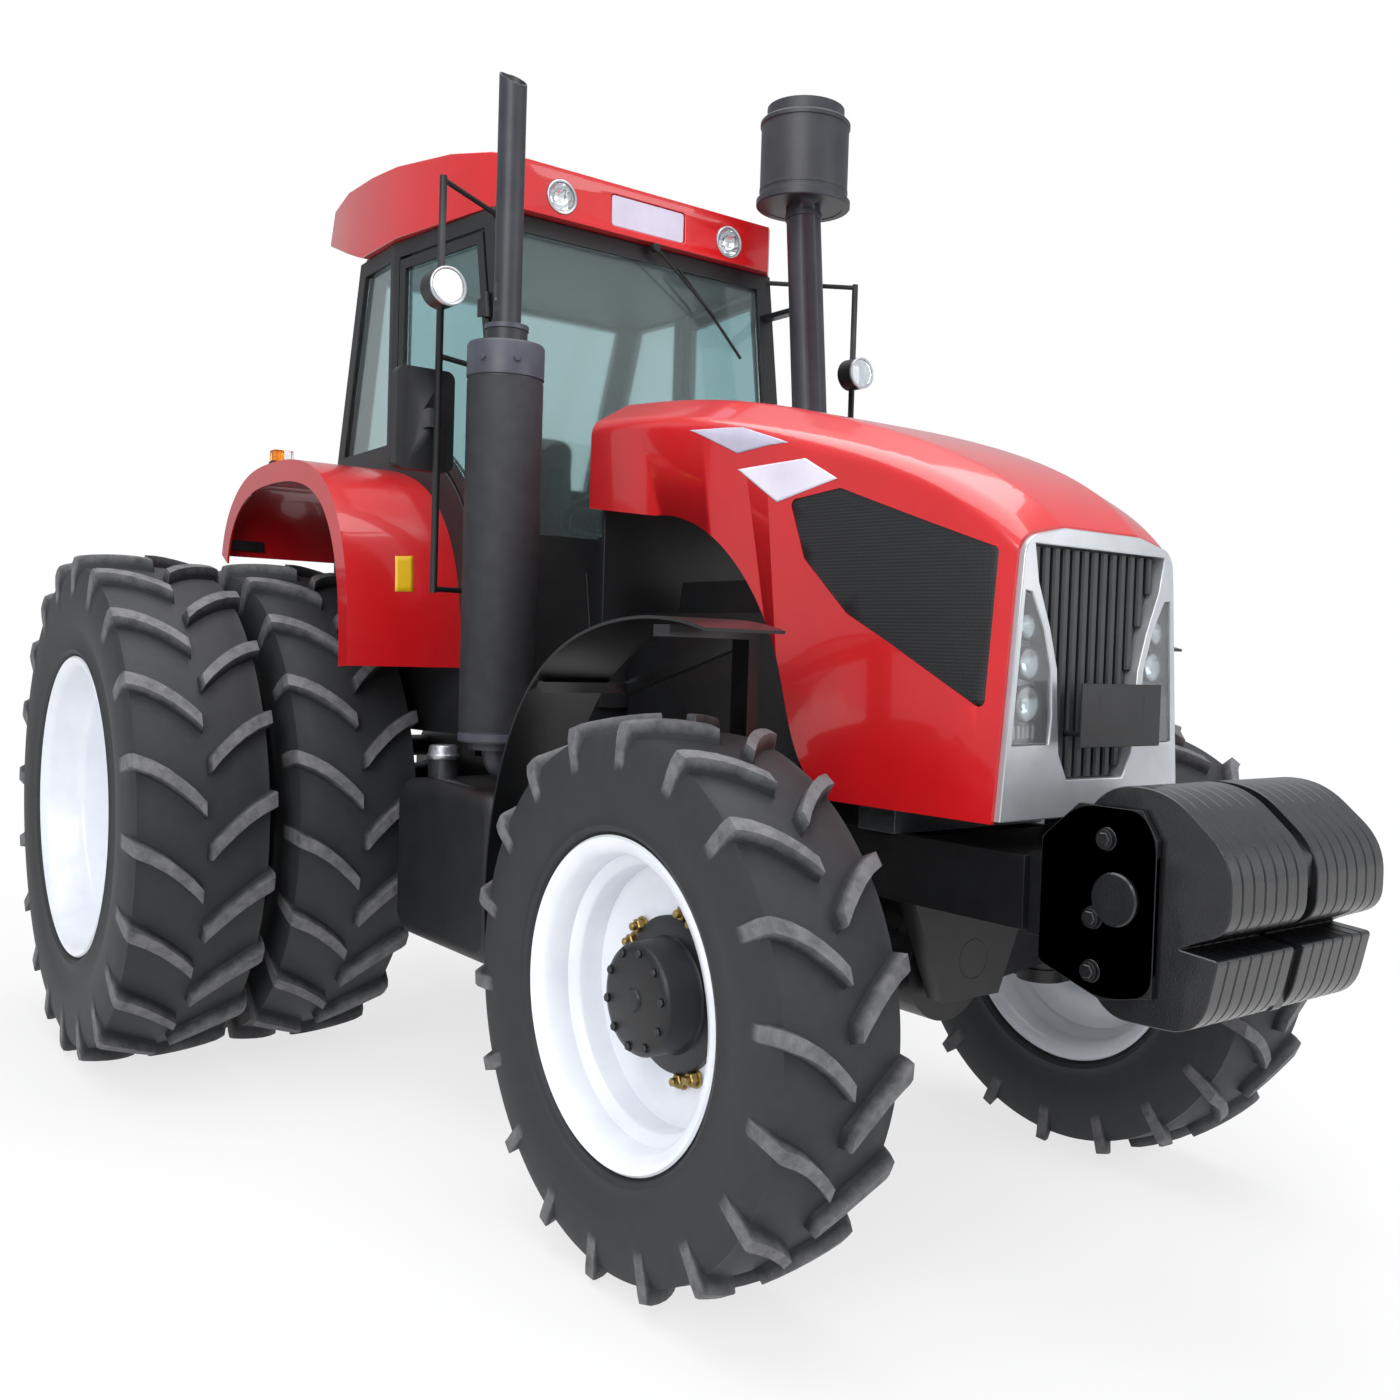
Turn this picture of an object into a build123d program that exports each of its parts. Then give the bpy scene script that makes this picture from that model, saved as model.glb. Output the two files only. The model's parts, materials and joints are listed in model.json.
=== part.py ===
from build123d import *
import os
from math import asin, cos, hypot, pi, radians, sin

os.makedirs("parts", exist_ok=True)

# Four-wheel-drive farm tractor with twin rear wheels. Millimetres: +X is forward, +Y is left, +Z is up.
# The origin is on the ground below the middle of the tractor's length.

# Layout
WHEELBASE = 2650
FRONT_REACH = 1220
REAR_REACH = 1270
LENGTH = FRONT_REACH + WHEELBASE + REAR_REACH
REAR_AXLE_X = REAR_REACH - LENGTH / 2
FRONT_AXLE_X = REAR_AXLE_X + WHEELBASE
SEAT_GAP = 0.3
FRONT_WHEEL_Y = 860
REAR_INNER_Y = 940
REAR_OUTER_Y = 1465
KINGPIN_Y = 600

# Tyres and rims
REAR_TYRE_R = 935
REAR_TYRE_W = 467
REAR_RIM_R = 551
REAR_RIM_W = 406
REAR_LUG_H = 42
REAR_LUGS = 20
FRONT_TYRE_R = 710
FRONT_TYRE_W = 375
FRONT_RIM_R = 411
FRONT_RIM_W = 300
FRONT_LUG_H = 38
FRONT_LUGS = 18
RIM_WALL = 10
DISC_T = 16
FRONT_DISC_Y = 836
FRONT_CAP_Y = 972
FRONT_CAP_R = 146
REAR_INNER_DISC_Y = 1000
REAR_OUTER_DISC_Y = 1400
REAR_SPOOL_R = 150

# Running gear
HUB_FACE_Y = 760
TRUMPET_R = 118
STEER_ARM = 230
TIE_ROD_Z = 585
BOSS_R = 70
BOSS_H = 200
FORK_PLATE = 40
RAIL_Y = 275
RAIL_T = 40
RAIL_LOW_Z = 930
RAIL_TOP_Z = 1110
TRANSMISSION_HALF = 230
ENGINE_HALF = RAIL_Y - RAIL_T + SEAT_GAP
BELL_HALF = 250
ENGINE_REAR_X = 120
ENGINE_FRONT_X = FRONT_AXLE_X - 250
ENGINE_TOP_Z = 1700

# Hood
HOOD_REAR_X = 160
HOOD_FRONT_X = FRONT_AXLE_X + 610
HOOD_WALL = 8
HOOD_LOW_Z = 1186
HOOD_REAR_LOW_Z = 2050
HOOD_HINGE_X = HOOD_REAR_X + 30
HOOD_HINGE_Z = 2330
COWL_X = HOOD_REAR_X - 10
FACE_X = HOOD_FRONT_X + 18
FACE_DEPTH = 60

# Cab
CAB_FLOOR_Z = 1250
CAB_TOP_Z = 3090
CAB_WALL = 50
CAB_FRONT_FOOT_X = REAR_AXLE_X + 1420
CAB_FRONT_TOP_X = REAR_AXLE_X + 1130
CAB_REAR_FOOT_X = REAR_AXLE_X - 170
CAB_REAR_TOP_X = REAR_AXLE_X + 90
CAB_REAR_SILL_Z = 2250
B_PILLAR_X = REAR_AXLE_X + 470
B_PILLAR_Y = 690
CAB_FRONT_Y = 586
CAB_REAR_Y = 650
PANE_T = 6
DOOR_T = 35
DOOR_GAP = 12
HINGE_BARREL_R = 12
ROOF_TOP_Z = 3380
FENDER_INNER_Y = 690
FENDER_OUTER_Y = 1050
FENDER_SHEET = 8

# Stacks, tank and weights
MUFFLER_X = 200
MUFFLER_Y = 750
MUFFLER_R = 118
EXHAUST_R = 44
EXHAUST_TOP_Z = 3400
MUFFLER_LOW_Z = 1240
MUFFLER_TOP_Z = 2530
INTAKE_X = 130
INTAKE_Y = 562
INTAKE_R = 66
CLEANER_R = 168
CLEANER_LOW_Z = 3290
CLEANER_TOP_Z = 3660
TANK_REAR_X = REAR_AXLE_X + 980
TANK_FRONT_X = REAR_AXLE_X + 1690
TANK_LOW_Z = 570
TANK_TOP_Z = 1110
TANK_INNER_Y = 420
TANK_OUTER_Y = 860
WEIGHTS_PER_SIDE = 7
WEIGHT_PITCH = 43
WEIGHT_GAP = 3
WEIGHT_MIDDLE_GAP = 40

# Rear linkage
LINK_Y = 412.5
LINK_PIVOT_X = REAR_AXLE_X - 300
LINK_Z = 620
BALL_R = 50
BALL_BORE_R = 18.7
BALL_W = 45
BALL_X = REAR_AXLE_X - REAR_REACH + BALL_R
LINK_BAR_T = 25
LIFT_ARM = 380
LIFT_SHAFT_Z = 1120
LIFT_ROD_R = 15
DRAWBAR_Z = 430
DRAWBAR_PIN_R = 16.5
DRAWBAR_PIN_X = REAR_AXLE_X - 820
TOP_LINK_BORE_R = 16
TOP_LINK_X = REAR_AXLE_X - 400
TOP_LINK_Z = 1010
PTO_R = 17.5
PTO_END_X = REAR_AXLE_X - 470
PTO_Z = 700


def save(piece, label):
    piece.label = label
    export_step(piece, "parts/" + label + ".step")


def fin(x, y, z, x_dir, z_dir):
    return Plane(origin=(x, y, z), x_dir=x_dir, z_dir=z_dir)


def wheel_plane(x, y, z):
    # Local Z is the wheel's axle, which points left, and local X points forward.
    return fin(x, y, z, (1, 0, 0), (0, 1, 0))


# A tyre: a carcass of flat facets, one for each pitch of the tread, with two staggered rows of slanted bars.
# The bars' inner ends lead as the wheel rolls forward.
def tyre_solid(radius, width, rim_r, rim_w, lug_h, lug_count):
    bead_y = rim_w / 2 - SEAT_GAP
    seat_r = rim_r - 28 + SEAT_GAP
    crown_r = radius - lug_h
    wall_h = crown_r - rim_r
    tread_y = 0.47 * width
    drop = 0.05 * width
    half = [
        (bead_y, rim_r + 8),
        (0.50 * width, rim_r + 0.52 * wall_h),
        (tread_y, crown_r - drop),
    ]
    outline = [(-y, r) for y, r in half] + [(0, crown_r)] + half[::-1]
    # The facets' corners stand as far outside the round tyre as their middles lie inside it.
    corner_share = 2 / (1 + cos(pi / lug_count))
    tilt = asin(drop / tread_y) * 0.75
    slant = radians(45)
    bar_y = 0.245 * width
    bar_length = 0.43 * width / cos(slant)
    bar_w = 0.105 * width
    top_length = 0.97 * bar_length
    top_w = 0.8 * bar_w
    seat = crown_r - 14
    pitch = 2 * pi / lug_count
    spots = []
    for side in (1, -1):
        for index in range(lug_count):
            angle = index * pitch + side * pitch / 4
            out = Vector(sin(angle) * cos(tilt), side * sin(tilt), cos(angle) * cos(tilt))
            back = Vector(-cos(angle), 0, sin(angle))
            along = Vector(0, side, 0) * cos(slant) + back * sin(slant)
            along = (along - out * along.dot(out)).normalized()
            origin = (seat * sin(angle), side * bar_y, seat * cos(angle))
            spots.append(Location(Plane(origin=origin, x_dir=along, z_dir=out)))
    # The bar is as high as puts its furthest top corner on the tyre's full radius.
    bar_h = lug_h
    for _ in range(4):
        corners = [
            spots[0] * Pos(u * top_length / 2, v * top_w / 2, bar_h) for u in (-1, 1) for v in (-1, 1)
        ]
        bar_h += radius - max(hypot(c.position.X, c.position.Z) for c in corners)
    with BuildPart() as bar:
        with BuildSketch(Plane.XY.offset(-40)):
            Rectangle(bar_length, bar_w * 1.25)
        with BuildSketch(Plane.XY.offset(bar_h)):
            Rectangle(top_length, top_w)
        loft()
    with BuildPart() as tyre:
        for y, r in outline:
            with BuildSketch(Plane.XZ.offset(-y)):
                RegularPolygon(r * corner_share, lug_count)
        loft(ruled=True)
        with BuildSketch(Plane.XZ):
            RegularPolygon(seat_r, lug_count, major_radius=False)
        extrude(amount=width, both=True, mode=Mode.SUBTRACT)
        with Locations(*spots):
            add(bar.part)
    return tyre.part


# A welded steel rim with its disc. The profile's first value is measured outward from the tyre's middle.
def rim_solid(rim_r, rim_w, disc_y, disc_r, side):
    seat_r = rim_r - 28
    well_r = rim_r - 62
    half = rim_w / 2
    lip = 11
    outer = [
        (-half - lip, rim_r),
        (-half, rim_r),
        (-half, seat_r),
        (-0.55 * half, seat_r),
        (-0.40 * half, well_r),
        (0.25 * half, well_r),
        (0.45 * half, seat_r),
        (half, seat_r),
        (half, rim_r),
        (half + lip, rim_r),
    ]
    inner = [
        (half + lip, seat_r - RIM_WALL),
        (0.45 * half + 4, seat_r - RIM_WALL),
        (0.25 * half + 4, well_r - RIM_WALL),
        (-0.40 * half - 4, well_r - RIM_WALL),
        (-0.55 * half - 4, seat_r - RIM_WALL),
        (-half - lip, seat_r - RIM_WALL),
    ]
    barrel = [(side * y, r) for y, r in outer + inner]
    disc = [
        (disc_y - DISC_T / 2, disc_r),
        (disc_y + DISC_T / 2, disc_r),
        (disc_y + DISC_T / 2, 0.62 * rim_r),
        (disc_y - 22 + DISC_T / 2, well_r - RIM_WALL / 2),
        (disc_y - 22 - DISC_T / 2, well_r - RIM_WALL / 2),
        (disc_y - DISC_T / 2, 0.62 * rim_r),
    ]
    web = [(side * y, r) for y, r in disc]
    with BuildPart() as rim:
        with BuildSketch(Plane.YZ):
            Polygon(*barrel, align=None)
            Polygon(*web, align=None)
        revolve(axis=Axis.Y)
    return rim.part


front_tyre = tyre_solid(FRONT_TYRE_R, FRONT_TYRE_W, FRONT_RIM_R, FRONT_RIM_W, FRONT_LUG_H, FRONT_LUGS)
rear_tyre = tyre_solid(REAR_TYRE_R, REAR_TYRE_W, REAR_RIM_R, REAR_RIM_W, REAR_LUG_H, REAR_LUGS)

for side, name in ((1, "left"), (-1, "right")):
    with BuildPart() as tyre_node:
        with Locations((FRONT_AXLE_X, side * FRONT_WHEEL_Y, FRONT_TYRE_R)):
            add(front_tyre)
    save(tyre_node.part, "front_tyre_" + name)
    with BuildPart() as twin_node:
        with Locations(
            (REAR_AXLE_X, side * REAR_INNER_Y, REAR_TYRE_R),
            (REAR_AXLE_X, side * REAR_OUTER_Y, REAR_TYRE_R),
        ):
            add(rear_tyre)
    save(twin_node.part, "rear_tyres_" + name)

# Front rims carry the planetary hub, whose cap stands out of the dish.
for side, name in ((1, "left"), (-1, "right")):
    rim = rim_solid(FRONT_RIM_R, FRONT_RIM_W, FRONT_DISC_Y - FRONT_WHEEL_Y, 60, side)
    with BuildPart() as front_rim:
        with Locations((FRONT_AXLE_X, side * FRONT_WHEEL_Y, FRONT_TYRE_R)):
            add(rim)
        with BuildSketch(wheel_plane(FRONT_AXLE_X, side * HUB_FACE_Y, FRONT_TYRE_R)):
            Circle(FRONT_CAP_R - 6)
        extrude(amount=side * (FRONT_CAP_Y - 12 - HUB_FACE_Y))
        with BuildSketch(wheel_plane(FRONT_AXLE_X, side * (FRONT_DISC_Y - 26), FRONT_TYRE_R)):
            Circle(FRONT_CAP_R + 52)
        extrude(amount=side * 40)
        with BuildSketch(wheel_plane(FRONT_AXLE_X, side * (FRONT_DISC_Y + 30), FRONT_TYRE_R)):
            Circle(FRONT_CAP_R)
        extrude(amount=side * (FRONT_CAP_Y - FRONT_DISC_Y - 30))
        with BuildSketch(wheel_plane(FRONT_AXLE_X, side * (FRONT_DISC_Y + 6), FRONT_TYRE_R)):
            with PolarLocations(FRONT_CAP_R + 30, 12):
                Circle(12)
        extrude(amount=side * 26)
        cap_face = front_rim.faces().filter_by(Axis.Y).filter_by(
            lambda f: abs(abs(f.center().Y) - FRONT_CAP_Y) < 1
        )
        chamfer(cap_face.edges(), 10)
    save(front_rim.part, "front_rim_" + name)

# Each pair of rear rims is bolted to one spool, which runs out from the axle.
for side, name in ((1, "left"), (-1, "right")):
    inner_rim = rim_solid(REAR_RIM_R, REAR_RIM_W, REAR_INNER_DISC_Y - REAR_INNER_Y, 60, side)
    outer_rim = rim_solid(REAR_RIM_R, REAR_RIM_W, REAR_OUTER_DISC_Y - REAR_OUTER_Y, 60, side)
    with BuildPart() as rear_rims:
        with Locations((REAR_AXLE_X, side * REAR_INNER_Y, REAR_TYRE_R)):
            add(inner_rim)
        with Locations((REAR_AXLE_X, side * REAR_OUTER_Y, REAR_TYRE_R)):
            add(outer_rim)
        with BuildSketch(wheel_plane(REAR_AXLE_X, side * HUB_FACE_Y, REAR_TYRE_R)):
            Circle(REAR_SPOOL_R - 20)
        extrude(amount=side * (REAR_OUTER_DISC_Y + 46 - HUB_FACE_Y))
        for disc_y in (REAR_INNER_DISC_Y + 8, REAR_OUTER_DISC_Y - 32):
            with BuildSketch(wheel_plane(REAR_AXLE_X, side * disc_y, REAR_TYRE_R)):
                Circle(REAR_SPOOL_R + 56)
            extrude(amount=side * 24)
        with BuildSketch(wheel_plane(REAR_AXLE_X, side * (REAR_OUTER_DISC_Y + 6), REAR_TYRE_R)):
            with PolarLocations(REAR_SPOOL_R + 26, 10):
                Circle(15)
        extrude(amount=side * 26)
    save(rear_rims.part, "rear_rims_" + name)

# Rear axle housing: centre case, stepped trumpets, saddles under the cab, brackets of the linkage, the PTO stub.
with BuildPart() as rear_axle:
    with BuildSketch(Plane.XZ):
        with BuildLine():
            Polyline(
                (REAR_AXLE_X - 290, 640),
                (REAR_AXLE_X - 200, 560),
                (REAR_AXLE_X + 280, 560),
                (REAR_AXLE_X + 280, 1130),
                (REAR_AXLE_X + 150, 1215),
                (REAR_AXLE_X - 200, 1215),
                (REAR_AXLE_X - 290, 1120),
                close=True,
            )
        make_face()
    extrude(amount=200, both=True)
    with BuildSketch(Plane.YZ.offset(REAR_AXLE_X)) as trumpet_profile:
        for side in (1, -1):
            Polygon(
                (side * 190, REAR_TYRE_R),
                (side * 190, REAR_TYRE_R + TRUMPET_R + 52),
                (side * 300, REAR_TYRE_R + TRUMPET_R + 10),
                (side * 640, REAR_TYRE_R + TRUMPET_R - 14),
                (side * 640, REAR_TYRE_R + TRUMPET_R + 22),
                (side * (HUB_FACE_Y - SEAT_GAP), REAR_TYRE_R + TRUMPET_R + 22),
                (side * (HUB_FACE_Y - SEAT_GAP), REAR_TYRE_R),
                align=None,
            )
    revolve(axis=Axis((REAR_AXLE_X, 0, REAR_TYRE_R), (0, 1, 0)))
    for side in (1, -1):
        with BuildSketch(Plane.XY.offset(REAR_TYRE_R + 60)):
            with Locations((REAR_AXLE_X, side * 470)):
                RectangleRounded(130, 110, 12)
        extrude(amount=CAB_FLOOR_Z - SEAT_GAP - REAR_TYRE_R - 60)
        # Plates that hold the lower links' front pins.
        with BuildSketch(fin(0, side * (LINK_Y - LINK_BAR_T / 2 - SEAT_GAP), 0, (1, 0, 0), (0, -1, 0))):
            with BuildLine():
                Polyline(
                    (LINK_PIVOT_X - 45, LINK_Z - 45),
                    (LINK_PIVOT_X + 60, LINK_Z - 45),
                    (REAR_AXLE_X - 20, REAR_TYRE_R - 90),
                    (REAR_AXLE_X - 100, REAR_TYRE_R + 20),
                    (LINK_PIVOT_X - 45, LINK_Z + 60),
                    close=True,
                )
            make_face()
        extrude(amount=side * 22)
    # Two ears take the top link's pin.
    for side in (1, -1):
        with BuildSketch(fin(0, side * 30, 0, (1, 0, 0), (0, -1, 0))):
            with BuildLine():
                Polyline(
                    (REAR_AXLE_X - 270, TOP_LINK_Z - 70),
                    (REAR_AXLE_X - 270, TOP_LINK_Z + 90),
                    (TOP_LINK_X, TOP_LINK_Z + 38),
                    (TOP_LINK_X - 38, TOP_LINK_Z),
                    (TOP_LINK_X, TOP_LINK_Z - 38),
                    close=True,
                )
            make_face()
            with Locations((TOP_LINK_X, TOP_LINK_Z)):
                Circle(TOP_LINK_BORE_R, mode=Mode.SUBTRACT)
        extrude(amount=-side * 16)
    # PTO stub shaft in its shield.
    with BuildSketch(Plane.YZ.offset(REAR_AXLE_X - 280)):
        with Locations((0, PTO_Z)):
            Circle(PTO_R)
    extrude(amount=PTO_END_X - REAR_AXLE_X + 280)
    with BuildSketch(Plane.YZ.offset(REAR_AXLE_X - 280)):
        with Locations((0, PTO_Z)):
            Rectangle(250, 190)
            Rectangle(238, 184, mode=Mode.SUBTRACT)
        with Locations((0, PTO_Z - 90)):
            Rectangle(300, 60, mode=Mode.SUBTRACT)
    extrude(amount=-160)

# Gearbox between the rear axle and the engine's bell housing.
with BuildPart() as transmission:
    with BuildSketch(Plane.XY.offset(560)):
        with BuildLine():
            Polyline(
                (REAR_AXLE_X + 280 + SEAT_GAP, -TRANSMISSION_HALF + 30),
                (ENGINE_REAR_X - 320, -TRANSMISSION_HALF),
                (ENGINE_REAR_X - SEAT_GAP, -TRANSMISSION_HALF - 20),
                (ENGINE_REAR_X - SEAT_GAP, TRANSMISSION_HALF + 20),
                (ENGINE_REAR_X - 320, TRANSMISSION_HALF),
                (REAR_AXLE_X + 280 + SEAT_GAP, TRANSMISSION_HALF - 30),
                close=True,
            )
        make_face()
    extrude(amount=RAIL_TOP_Z - 560)
    for side in (1, -1):
        with BuildSketch(Plane.XY.offset(900)):
            with Locations((CAB_FRONT_FOOT_X - 260, side * (TRANSMISSION_HALF + 40))):
                RectangleRounded(120, 110, 12)
        extrude(amount=CAB_FLOOR_Z - SEAT_GAP - 900)
save(transmission.part, "transmission_case")

# The engine as one block: flywheel housing, crankcase with its sump, cylinder head and valve cover.
with BuildPart() as engine:
    with BuildSketch(Plane.XY.offset(700)):
        with Locations(((ENGINE_REAR_X + 400) / 2, 0)):
            Rectangle(400 - ENGINE_REAR_X, 2 * BELL_HALF)
    extrude(amount=630)
    with BuildSketch(Plane.XY.offset(860)):
        with Locations(((ENGINE_REAR_X + 60 + ENGINE_FRONT_X) / 2, 0)):
            Rectangle(ENGINE_FRONT_X - ENGINE_REAR_X - 60, 2 * ENGINE_HALF)
    extrude(amount=ENGINE_TOP_Z - 860)
    with BuildSketch(Plane.XY.offset(690)):
        with Locations(((400 + FRONT_AXLE_X - 320) / 2, 0)):
            Rectangle(FRONT_AXLE_X - 320 - 400 + 20, 320)
    extrude(amount=180, taper=-8)
    with BuildSketch(Plane.XY.offset(ENGINE_TOP_Z)):
        with Locations(((ENGINE_REAR_X + 160 + ENGINE_FRONT_X) / 2, 0)):
            RectangleRounded(ENGINE_FRONT_X - ENGINE_REAR_X - 200, 260, 30)
    extrude(amount=110, taper=6)
    # Fan on the front of the block.
    with BuildSketch(Plane.YZ.offset(ENGINE_FRONT_X)):
        with Locations((0, 1420)):
            Circle(60)
    extrude(amount=70)
    with BuildSketch(Plane.YZ.offset(ENGINE_FRONT_X + 30)):
        with Locations((0, 1420)):
            with PolarLocations(0, 7):
                with Locations((150, 0)):
                    Rectangle(200, 76)
    extrude(amount=22)
save(engine.part, "engine_block")

# Side rails, front cross member and the two hangers of the front axle's trunnions.
with BuildPart() as frame:
    rail_rear = 420
    rail_front = FRONT_AXLE_X + 640
    for side in (1, -1):
        with BuildSketch(fin(0, side * RAIL_Y, 0, (1, 0, 0), (0, -1, 0))):
            with BuildLine():
                Polyline(
                    (rail_rear, RAIL_LOW_Z + 40),
                    (rail_rear + 90, RAIL_LOW_Z),
                    (rail_front, RAIL_LOW_Z),
                    (rail_front, RAIL_TOP_Z),
                    (rail_rear, RAIL_TOP_Z),
                    close=True,
                )
            make_face()
        extrude(amount=side * (RAIL_T - 2 * SEAT_GAP))
    with BuildSketch(Plane.XY.offset(RAIL_LOW_Z)):
        with Locations((FRONT_AXLE_X + 460, 0)):
            Rectangle(360, 2 * RAIL_Y)
    extrude(amount=RAIL_TOP_Z - RAIL_LOW_Z)
    for hanger_x in (FRONT_AXLE_X - 245, FRONT_AXLE_X + 180):
        with BuildSketch(Plane.YZ.offset(hanger_x)):
            Polygon(
                (-RAIL_Y + 10, RAIL_LOW_Z + 60),
                (-110, FRONT_TYRE_R - 70),
                (110, FRONT_TYRE_R - 70),
                (RAIL_Y - 10, RAIL_LOW_Z + 60),
                align=None,
            )
            with Locations((0, FRONT_TYRE_R + 40)):
                Circle(55 + SEAT_GAP, mode=Mode.SUBTRACT)
        extrude(amount=65)

# Driven front axle: differential, tapered beam and the kingpin bosses.
with BuildPart() as front_axle:
    beam_end = KINGPIN_Y
    with BuildSketch(fin(FRONT_AXLE_X, 0, 0, (0, 1, 0), (1, 0, 0))):
        with BuildLine():
            Polyline(
                (-beam_end, FRONT_TYRE_R - 62),
                (-240, FRONT_TYRE_R - 100),
                (240, FRONT_TYRE_R - 100),
                (beam_end, FRONT_TYRE_R - 62),
                (beam_end, FRONT_TYRE_R + 62),
                (240, FRONT_TYRE_R + 105),
                (-240, FRONT_TYRE_R + 105),
                (-beam_end, FRONT_TYRE_R + 62),
                close=True,
            )
        make_face()
    extrude(amount=68, both=True)
    with BuildSketch(fin(FRONT_AXLE_X, 0, FRONT_TYRE_R, (0, 1, 0), (1, 0, 0))):
        Circle(155)
    extrude(amount=150, both=True)
    with BuildSketch(fin(FRONT_AXLE_X, 0, FRONT_TYRE_R + 40, (0, 1, 0), (1, 0, 0))):
        Circle(55)
    extrude(amount=245, both=True)
    for side in (1, -1):
        with BuildSketch(Plane.XY.offset(FRONT_TYRE_R - BOSS_H / 2)):
            with Locations((FRONT_AXLE_X, side * KINGPIN_Y)):
                Circle(BOSS_R)
        extrude(amount=BOSS_H)
save(front_axle.part, "front_axle")

# Swivel housings: two plates above and below the boss, the outer wall and flange, and the steering arm.
for side, name in ((1, "left"), (-1, "right")):
    with BuildPart() as knuckle:
        for low_z in (
            FRONT_TYRE_R + BOSS_H / 2 + SEAT_GAP,
            FRONT_TYRE_R - BOSS_H / 2 - SEAT_GAP - FORK_PLATE,
        ):
            with BuildSketch(Plane.XY.offset(low_z)):
                with Locations((FRONT_AXLE_X, side * KINGPIN_Y)):
                    Circle(BOSS_R + 8)
                with Locations((FRONT_AXLE_X, side * (KINGPIN_Y + 60))):
                    Rectangle(150, 120)
            extrude(amount=FORK_PLATE)
        with BuildSketch(wheel_plane(FRONT_AXLE_X, side * (KINGPIN_Y + 84), FRONT_TYRE_R)):
            RectangleRounded(170, BOSS_H + 2 * FORK_PLATE + 2 * SEAT_GAP, 12)
        extrude(amount=side * 36)
        with BuildSketch(wheel_plane(FRONT_AXLE_X, side * (KINGPIN_Y + 110), FRONT_TYRE_R)):
            Circle(FRONT_CAP_R + 4)
        extrude(amount=side * (HUB_FACE_Y - SEAT_GAP - KINGPIN_Y - 110))
        arm_z = FRONT_TYRE_R - BOSS_H / 2 - SEAT_GAP - FORK_PLATE
        with BuildSketch(Plane.XY.offset(arm_z)):
            with BuildLine():
                Polyline(
                    (FRONT_AXLE_X - 60, side * (KINGPIN_Y - 34)),
                    (FRONT_AXLE_X - STEER_ARM, side * (KINGPIN_Y - 26)),
                    (FRONT_AXLE_X - STEER_ARM, side * (KINGPIN_Y + 26)),
                    (FRONT_AXLE_X - 60, side * (KINGPIN_Y + 60)),
                    close=True,
                )
            make_face()
            with Locations((FRONT_AXLE_X - STEER_ARM, side * KINGPIN_Y)):
                Circle(26)
        extrude(amount=30)
    save(knuckle.part, "knuckle_" + name)

# Tie rod below the arms, with an eye at each end.
with BuildPart() as tie_rod:
    with BuildSketch(fin(FRONT_AXLE_X - STEER_ARM, -KINGPIN_Y, TIE_ROD_Z - 45, (1, 0, 0), (0, 1, 0))):
        Circle(16)
    extrude(amount=2 * KINGPIN_Y)
    for side in (1, -1):
        with BuildSketch(Plane.XY.offset(TIE_ROD_Z - 67)):
            with Locations((FRONT_AXLE_X - STEER_ARM, side * KINGPIN_Y)):
                Circle(24)
        extrude(amount=FRONT_TYRE_R - BOSS_H / 2 - 2 * SEAT_GAP - FORK_PLATE - TIE_ROD_Z + 67)
save(tie_rod.part, "tie_rod")

# Front fenders: a bent sheet over each wheel on a bracket from the swivel housing.
FENDER_IN_Y = 705
FENDER_OUT_Y = 950
for side, name in ((1, "left"), (-1, "right")):
    with BuildPart() as front_fender:
        with BuildSketch(fin(0, side * FENDER_IN_Y, 0, (1, 0, 0), (0, -1, 0))):
            with BuildLine():
                Spline(
                    (FRONT_AXLE_X - 800, FRONT_TYRE_R - 70),
                    (FRONT_AXLE_X - 800, FRONT_TYRE_R + 330),
                    (FRONT_AXLE_X - 560, FRONT_TYRE_R + 780),
                    (FRONT_AXLE_X - 120, FRONT_TYRE_R + 945),
                    (FRONT_AXLE_X + 230, FRONT_TYRE_R + 922),
                )
                Line((FRONT_AXLE_X + 230, FRONT_TYRE_R + 922), (FRONT_AXLE_X + 229, FRONT_TYRE_R + 914))
                Spline(
                    (FRONT_AXLE_X + 229, FRONT_TYRE_R + 914),
                    (FRONT_AXLE_X - 120, FRONT_TYRE_R + 937),
                    (FRONT_AXLE_X - 554, FRONT_TYRE_R + 774),
                    (FRONT_AXLE_X - 792, FRONT_TYRE_R + 328),
                    (FRONT_AXLE_X - 792, FRONT_TYRE_R - 70),
                )
                Line((FRONT_AXLE_X - 792, FRONT_TYRE_R - 70), (FRONT_AXLE_X - 800, FRONT_TYRE_R - 70))
            make_face()
        extrude(amount=-side * (FENDER_OUT_Y - FENDER_IN_Y))
        # The post rises from the swivel housing, inboard of the tyre, to two arms under the sheet.
        with BuildSketch(Plane.XY.offset(FRONT_TYRE_R + BOSS_H / 2 + FORK_PLATE + 2 * SEAT_GAP)):
            with Locations((FRONT_AXLE_X, side * 645)):
                Rectangle(70, 34)
        extrude(amount=780)
        with BuildSketch(wheel_plane(FRONT_AXLE_X, side * 632, FRONT_TYRE_R + 915)):
            Rectangle(70, 30)
        extrude(amount=side * 280)
        with BuildSketch(fin(FRONT_AXLE_X - 560, side * 640, FRONT_TYRE_R + 752, (1, 0, 0), (0, 1, 0))):
            Rectangle(30, 30)
        extrude(amount=side * 280)
        with BuildSketch(fin(0, side * 632, 0, (1, 0, 0), (0, -1, 0))):
            with BuildLine():
                Polyline(
                    (FRONT_AXLE_X - 20, FRONT_TYRE_R + 880),
                    (FRONT_AXLE_X - 20, FRONT_TYRE_R + 925),
                    (FRONT_AXLE_X - 574, FRONT_TYRE_R + 762),
                    (FRONT_AXLE_X - 562, FRONT_TYRE_R + 730),
                    close=True,
                )
            make_face()
        extrude(amount=-side * 22)
    save(front_fender.part, "front_fender_" + name)


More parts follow.
